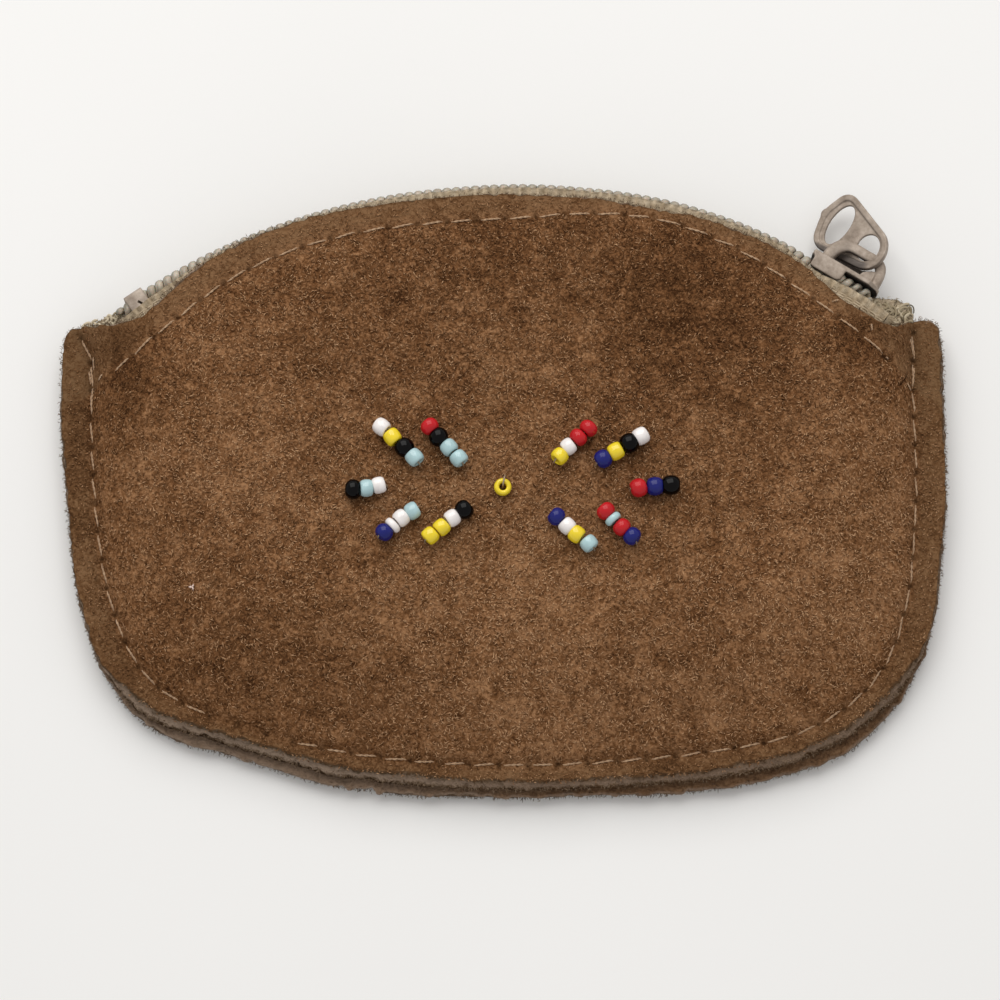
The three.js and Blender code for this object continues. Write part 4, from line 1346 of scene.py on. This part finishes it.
# %% Plate tools
def plate(name, outline, low, high, lying=False):
    outline = np.array(outline, float)
    deselect()
    bpy.ops.mesh.primitive_circle_add(vertices=len(outline), fill_type="NGON")
    piece = bpy.context.object
    piece.name = name
    move_points(piece, np.column_stack([outline, np.full(len(outline), low)]) * MM)
    bpy.ops.object.mode_set(mode="EDIT")
    bpy.ops.mesh.select_all(action="SELECT")
    bpy.ops.mesh.extrude_region_move(TRANSFORM_OT_translate={"value": (0, 0, (high - low) * MM)})
    bpy.ops.object.mode_set(mode="OBJECT")
    if lying:
        move_points(piece, points_of(piece)[:, [0, 2, 1]])
    clean(piece)
    return piece


def boolean(piece, other, operation):
    modifier = piece.modifiers.new("cut", "BOOLEAN")
    modifier.operation = operation
    modifier.object = other
    modifier.solver = "EXACT"
    apply_modifiers(piece)
    bpy.data.objects.remove(other)


def cast(piece, voxel, rounds):
    skin = piece.modifiers.new("skin", "REMESH")
    skin.mode = "VOXEL"
    skin.voxel_size = voxel * MM
    soften = piece.modifiers.new("soften", "SMOOTH")
    soften.factor = 0.5
    soften.iterations = rounds
    apply_modifiers(piece)
    clean(piece)


def shade_by_angle(piece, degrees):
    select_only(piece)
    bpy.ops.object.shade_smooth_by_angle(angle=math.radians(degrees))


# How much each point faces the zip, from 0 to 1, in the slider's own upright place. It sets painted shade on
# undersides.
def faces_down(piece):
    return smooth_step(-points_of(piece, "normal")[:, 1])


# From the slider's own place (along the zip, out of it, up) to its place on the purse.
def slider_frame(points):
    along = np.array([math.cos(slider_angle), -math.sin(slider_angle), 0])
    out = np.array([math.sin(slider_angle), math.cos(slider_angle), 0])
    origin = zip_point(np.array([slider_angle]), 0, zip_z)[0]
    return origin + points[:, :1] * along + points[:, 1:2] * out + points[:, 2:] * np.array([0, 0, 1])


# %% [markdown]
# ## Stop, slider and crown
# These are small castings with soft edges. The stop is a copy of the frame's solid, merged, cleaned of its
# flat seams and given rounded edges with a bevel, with a slit cut into its front. The slider is
# built of plates, and its crown is a bent bar with a lug.

# %% Stop
stop_angle = -share_angle(0.811)
stop_lower = 0.45
slit_half_long, slit_half_wide = 0.32, 0.16
stop_clip = bpy.data.objects.new("stop_clip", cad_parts["zip_bottom_stop"].data.copy())
bpy.context.scene.collection.objects.link(stop_clip)
clean(stop_clip, 2e-6)
bpy.ops.object.mode_set(mode="EDIT")
bpy.ops.mesh.select_all(action="SELECT")
bpy.ops.mesh.dissolve_limited(angle_limit=math.radians(2))
bpy.ops.object.mode_set(mode="OBJECT")
bevel = stop_clip.modifiers.new("round", "BEVEL")
bevel.width = 0.12 * MM
bevel.segments = 3
bevel.limit_method = "ANGLE"
bevel.angle_limit = math.radians(35)
apply_modifiers(stop_clip)
shade_by_angle(stop_clip, 40)
drop = np.array([math.sin(stop_angle), math.cos(stop_angle), 0]) * stop_lower
move_points(stop_clip, points_of(stop_clip) - drop * MM)
slit_middle = zip_point(np.array([stop_angle + 0.15 / zip_radius]), 0.35, zip_z + 2.4)[0]
slit_way = np.array([math.sin(stop_angle - 0.5), math.cos(stop_angle - 0.5)]) * slit_half_long
slit_side = np.array([math.cos(stop_angle - 0.5), -math.sin(stop_angle - 0.5)]) * slit_half_wide
slit_signs = ((-1, -1), (1, -1), (1, 1), (-1, 1))
slit_corners = [slit_middle[:2] + a * slit_way + b * slit_side for a, b in slit_signs]
boolean(stop_clip, plate("slit", slit_corners, slit_middle[2] - 0.4, slit_middle[2] + 1), "DIFFERENCE")
shade_by_angle(stop_clip, 32)
finish_piece(stop_clip, "purse", "zip_metal", metal_finish, "zip_bottom_stop")

# %% Slider body
plate_low, plate_top = 2.45, 3.05
wall_foot = plate_top - 0.2
slider_rear, slider_nose = -4.6, 4.95
cheek_inner, cheek_outer = 2.2, 2.78
flange_start, flange_end, flange_low = -4.1, 0.2, 0.85


def corner_arc(cx, cy, r, start, end, count=8):
    t = np.radians(np.linspace(start, end, count))
    return [(cx + r * math.cos(a), cy + r * math.sin(a)) for a in t]


def mirrored(half):
    return [(x, -z) for x, z in half] + half[::-1]


cheek = [(slider_rear + 0.1, plate_low), (flange_start, plate_low - 0.3)]
cheek += corner_arc(flange_start + 0.3, flange_low + 0.3, 0.3, 180, 270)
cheek += corner_arc(flange_end - 0.7, flange_low + 0.7, 0.7, 270, 360)
cheek += [(flange_end, plate_low), (slider_nose - 1.4, plate_low)]
cheek += [(slider_nose - 1.4, plate_top), (slider_rear + 0.1, plate_top)]
plan = mirrored([
    (slider_rear, 2.1), (slider_rear + 0.4, cheek_outer), (slider_nose - 1.5, cheek_outer),
    (slider_nose - 0.3, 1.9), (slider_nose, 0.9),
])
low_plan = mirrored([(-3.7, 1.2), (-3.1, 1.7), (1.2, 1.7), (2.6, 1.0)])
neck = [(0.75, -1.2), (2.25, -1.2), (2.25, wall_foot), (0.75, wall_foot)]
# A thin wall behind the crown, nearly black with painted shade, fills the opening under the crown where only
# shade is seen.
shade_wall = [
    (-2.9, wall_foot), (3.9, wall_foot), (3.9, 4.6), (3.5, 5.5), (2.8, 5.58), (2.3, 5.25), (1.6, 4.95),
    (-1.0, 4.85), (-2.3, 4.8),
]
slider_casting = join([
    plate("slider_casting", plan, plate_low, plate_top, lying=True),
    plate("cheek_front", cheek, cheek_inner, cheek_outer),
    plate("cheek_back", cheek, -cheek_outer, -cheek_inner),
    plate("low_plate", low_plan, -1.5, -0.7, lying=True),
    plate("neck", neck, -0.7, 0.7),
    plate("shade_wall", shade_wall, -1.85, -1.45),
])
cast(slider_casting, 0.085, 3)
local = points_of(slider_casting) / MM
# Painted shade: on the dark wall behind the crown, in the channel under the top plate and on faces turned
# down.
in_shade_wall = (local[:, 1] > plate_top + 0.05) * 0.7
shade_in_channel = (local[:, 1] < plate_low + 0.05) * (np.abs(local[:, 2]) < cheek_inner + 0.1) * 0.5
mark(slider_casting, "painted_shade", np.clip(in_shade_wall + shade_in_channel + 0.5 * faces_down(slider_casting), 0, 0.95))
move_points(slider_casting, slider_frame(local) * MM)
finish_piece(slider_casting, "slider", "zip_metal", metal_finish, "slider_body")

# %% Crown
crown_bar = 6.5
crown_foot = plate_top - 0.1
lug_foot = plate_top - 0.15
crown_path = smooth_line([
    (-2.85, crown_foot), (-2.8, 4.2), (-2.45, 5.25), (-1.85, 6.0), (-0.9, 6.38), (1.0, 6.42),
    (2.7, 6.38), (3.5, 5.95), (3.9, 5.1), (4.05, 4.2), (4.1, crown_foot),
], 0.2)
crown_lug = [
    (1.4, lug_foot), (4.75, lug_foot), (4.65, 4.2), (4.35, 5.2), (3.8, 5.6), (3.4, 5.1), (3.0, 4.98),
    (2.5, 4.72), (1.9, 4.2),
]


def crown():
    n = len(crown_path) - 1
    ahead = unit_rows(np.gradient(crown_path, axis=0))

    def place(u, v):
        i = np.rint(v * n).astype(int)
        turn = 2 * math.pi * u
        x, y = crown_path[i].T
        foot = smooth_step((crown_bar - y - 0.5) / 2.4)
        left = smooth_step((-0.9 - x) / 1.4)
        shut = np.where((i == 0) | (i == n), 0.04, 1.0)
        thick = shut * (0.70 - 0.06 * foot + 0.16 * left) * signed_power(np.cos(turn), 0.55)
        wide = shut * (0.40 + 0.55 * foot + 0.25 * left) * signed_power(np.sin(turn), 0.55)
        return np.column_stack([x - ahead[i, 1] * thick, y + ahead[i, 0] * thick, wide])

    return rolled_grid("slider_crown_bar", 20, n, place)


crown_piece = join([crown(), plate("lug", crown_lug, -0.45, 0.45)])
cast(crown_piece, 0.08, 3)
# Painted shade on the crown's faces turned down towards the zip.
mark(crown_piece, "painted_shade", 0.85 * faces_down(crown_piece))
move_points(crown_piece, slider_frame(points_of(crown_piece) / MM) * MM)
finish_piece(crown_piece, "slider", "zip_metal", metal_finish, "slider_crown")

# %% [markdown]
# ## Pull tab
# The tab is a flat casting with a round hole that hangs on the crown, an oval hole at its tip and a raised
# rim. It is cut from plates with the boolean modifier, then remeshed into one skin and smoothed, which rounds
# every edge.

# %% Tab plates
tab_eye, tab_wall = 1.85, 1.04
tab_length, tab_half, tab_corner, tab_bulge = 8.21, 4.04, 2.01, 0.58


def tab_outline(inset, count=120):
    eye = tab_eye + tab_wall - inset
    corner = tab_corner - inset
    cx, cy = tab_length - tab_bulge - tab_corner, tab_half - tab_corner
    end = (cy**2 + tab_bulge**2) / (2 * tab_bulge)
    ex = tab_length - end
    lean = math.atan2(cy, cx) + math.acos((eye - corner) / math.hypot(cx, cy))
    meet = math.atan2(cy, cx - ex) - math.acos((end - tab_corner) / math.hypot(cx - ex, cy))
    arcs = []
    for (x, y, r, a, b) in (
        (0, 0, eye, lean, 2 * math.pi - lean),
        (cx, -cy, corner, -lean, -meet),
        (ex, 0, end - inset, -meet, meet),
        (cx, cy, corner, meet, lean),
    ):
        t = np.linspace(a, b, 40)
        arcs.append(np.column_stack([x + r * np.cos(t), y + r * np.sin(t)]))
    loop = np.concatenate(arcs + [arcs[0][:1]])
    run = run_of(loop)
    return points_at(loop, run, np.linspace(0, run[-1], count, endpoint=False))


def ellipse(cx, cy, rx, ry, count=64):
    t = np.linspace(0, 2 * math.pi, count, endpoint=False)
    return np.column_stack([cx + rx * np.cos(t), cy + ry * np.sin(t)])


# %% Tab
tab_tilt, tab_turn, tab_lean = math.radians(25), math.radians(11.5), math.radians(9)
tab_skew = -0.10
tab_hang = [0.77, 0.9, 0]
tab = plate("pull_tab_casting", tab_outline(0.04), -0.2, 0.2)
rim = plate("rim", tab_outline(0.04), -0.37, 0.37)
boolean(rim, plate("rim_inside", tab_outline(0.80), -1, 1), "DIFFERENCE")
boolean(tab, rim, "UNION")
boolean(tab, plate("nub", ellipse(tab_length - 0.06, 0.05, 0.27, 0.55), -0.3, 0.3), "UNION")
boolean(tab, plate("eye_hole", ellipse(-0.15, 0, 1.60, 1.75), -2, 2), "DIFFERENCE")
boolean(tab, plate("oval_hole", ellipse(5.18, 0, 1.47, 2.82), -2, 2), "DIFFERENCE")
cast(tab, 0.08, 4)

# The tab is skewed, turned in its own plane, tilted, and leans over as it hangs on the bar.
hung = points_of(tab) / MM
hung[:, 0] += tab_skew * hung[:, 1]
hung[:, :2] = turned(hung[:, :2], math.pi - tab_turn)
hung[:, [0, 2]] = turned(hung[:, [0, 2]], tab_tilt)
hung += tab_hang
hung[:, 1:] = turned(hung[:, 1:], tab_lean)
hung[:, 1] += crown_bar
move_points(tab, hung * MM)
clean(tab)
# Painted shade on the part of the tab under the crown and on its faces turned down.
shade_under_crown = smooth_step((5.7 - hung[:, 1]) / 0.5) * smooth_step((2.4 - hung[:, 0]) / 1.0)
mark(tab, "painted_shade", np.clip(0.7 * shade_under_crown + 0.35 * faces_down(tab), 0, 0.9))
move_points(tab, slider_frame(hung) * MM)
clean(tab)
finish_piece(tab, "pull_tab", "zip_metal", metal_finish, "pull_tab")

# %% [markdown]
# ## Beads
# Glass seed beads are short rounded tubes. Each is made from a torus whose section is squared off, less so in
# the dark colours. Each one is set along its strand with a little tilt and play, so that the rows don't look
# like a machine's work.

# %% Strands
bead_width = 2.2
bead_bore = 0.42
bead_lift = 0.1 + bead_width / 2
bead_gap = 0.1
thin_bead = 0.6
flat_bead = 1.35
thread_depth = 1.6
torus_ring, torus_wire = 0.76, 0.34
dark_bead_width = {"black": 1.16, "red": 1.09, "darkblue": 1.08}
dark_bead_length = {"black": 1.2, "red": 1.08, "darkblue": 1.1}
strands = [
    ("i", (6.65, -5.2), (10.6, -8.5), ["darkblue", "white", "yellow", "paleblue"]),
    ("j", (15.82, -7.65), (12.72, -4.45), ["darkblue", "red", "paleblue thin", "red"]),
    ("h", (16.8, -1.42), (20.7, -1.0), ["red", "darkblue", "black"]),
    ("g", (17.22, 5.0), (12.45, 2.1), ["white", "black", "yellow", "darkblue"]),
    ("f", (10.6, 5.95), (7.1, 2.55), ["red", "red", "white", "yellow"]),
    ("k", (0.1, -1.35), (0.1, -1.35), ["yellow"]),
    ("b", (-5.4, 2.3), (-8.95, 6.2), ["paleblue", "paleblue", "black", "red"]),
    ("a", (-14.8, 6.3), (-10.8, 2.3), ["white", "yellow", "black", "paleblue"]),
    ("c", (-15.0, -1.2), (-18.3, -1.6), ["white", "paleblue", "black"]),
    ("d", (-14.4, -7.0), (-10.9, -4.3), ["darkblue", "white thin", "white", "paleblue"]),
    ("e", (-8.7, -7.5), (-4.65, -4.32), ["yellow", "yellow", "white", "black"]),
]


# %% One bead
def bead(name, colour, middle, way, long, width):
    deselect()
    bpy.ops.mesh.primitive_torus_add(
        major_segments=28, minor_segments=14, major_radius=torus_ring, minor_radius=torus_wire,
    )
    piece = bpy.context.object
    piece.name = name
    x, y, z = points_of(piece).T
    turn = np.arctan2(y, x)
    out_power, up_power, taper = (1.0, 0.88, 0.24) if colour in dark_bead_width else (0.84, 0.74, 0.07)
    out = signed_power((np.hypot(x, y) - torus_ring) / torus_wire, out_power)
    up = signed_power(z / torus_wire, up_power)
    uneven = 1 + 0.03 * np.sin(turn + middle[0]) * up
    r = (bead_bore + width / 2) / 2 + out * (width / 2 - bead_bore) / 2
    r *= 1 - taper * np.abs(up) ** 2.5
    local = np.column_stack([r * np.cos(turn), r * np.sin(turn), up * uneven * long / 2])
    way = np.array(way, float) / np.linalg.norm(way)
    side = np.cross([0.0, 0.0, 1.0], way)
    side = np.array([1.0, 0.0, 0.0]) if np.linalg.norm(side) < 1e-3 else side / np.linalg.norm(side)
    over = np.cross(way, side)
    move_points(piece, (middle + local[:, :1] * side + local[:, 1:2] * over + local[:, 2:] * way) * MM)
    clean(piece)
    finish_piece(piece, "purse", "glass_" + colour, glass[colour], name)


# %% Sew the beads on
# Each function gives back the points that the thread passes.
def sew_flat_bead(x, y):
    low = ground(x, y)
    middle = np.array([x, y, low + flat_bead / 2 + 0.1])
    bead("bead_k1_yellow", "yellow", middle, (0.05, -0.08, 1), flat_bead, bead_width)
    over = low + flat_bead + 0.25
    return [
        (x, y, low - thread_depth), (x, y, low + 0.6), (x + 0.05, y + 0.25, over), (x + 0.2, y + 1.05, over),
        (x + 0.3, y + 1.6, low + 0.2), (x + 0.3, y + 1.65, low - thread_depth),
    ]


def sew_strand(letter, first, last, colours):
    sizes = np.array([thin_bead if "thin" in c else 1.0 for c in colours])
    way = (last - first) / np.linalg.norm(last - first)
    unit = np.linalg.norm(last - first) / ((sizes[:-1] + sizes[1:]) / 2).sum()
    begin = first - way * unit * sizes[0] / 2
    stop = last + way * unit * sizes[-1] / 2
    at = 0.0
    for i, (label, size) in enumerate(zip(colours, sizes)):
        colour = label.split()[0]
        p = begin + way * (at + size / 2) * unit
        at += size
        play = chance.normal(0, 0.06, 2)
        lean = chance.normal(0, 0.09, 2)
        middle = np.array([*(p + play), ground(*p) + bead_lift])
        axis = (way[0] - way[1] * lean[0], way[1] + way[0] * lean[0], lean[1])
        width = bead_width * chance.uniform(0.96, 1.0) * dark_bead_width.get(colour, 1.0)
        long = (unit * size - bead_gap) * dark_bead_length.get(colour, 1.0)
        bead(f"bead_{letter}{i + 1}_{colour}", colour, middle, axis, long, width)
    a, b = begin - way * 0.08, stop + way * 0.08
    return [
        (*a, ground(*a) - thread_depth), (*a, ground(*a) + 0.5), (*begin, ground(*begin) + bead_lift),
        (*stop, ground(*stop) + bead_lift), (*b, ground(*b) + 0.5), (*b, ground(*b) - thread_depth),
    ]


thread_path = []
for letter, first, last, colours in strands:
    if len(colours) == 1:
        thread_path += sew_flat_bead(*first)
    else:
        thread_path += sew_strand(letter, np.array(first), np.array(last), colours)
thread_line = np.array(thread_path)
steps = [thread_line[:1]]
for p, q in zip(thread_line[:-1], thread_line[1:]):
    cells = max(2, int(np.linalg.norm(q - p) / 0.5))
    steps.append(p + (q - p) * np.linspace(0, 1, cells + 1)[1:, None])
piece = tube("bead_thread_line", np.concatenate(steps), 0.11)
finish_piece(piece, "purse", "bead_thread", bead_thread_finish, "bead_thread")

# %% Finish
print("frame box", [[round(c / MM, 2) for c in corner] for corner in frame_box])
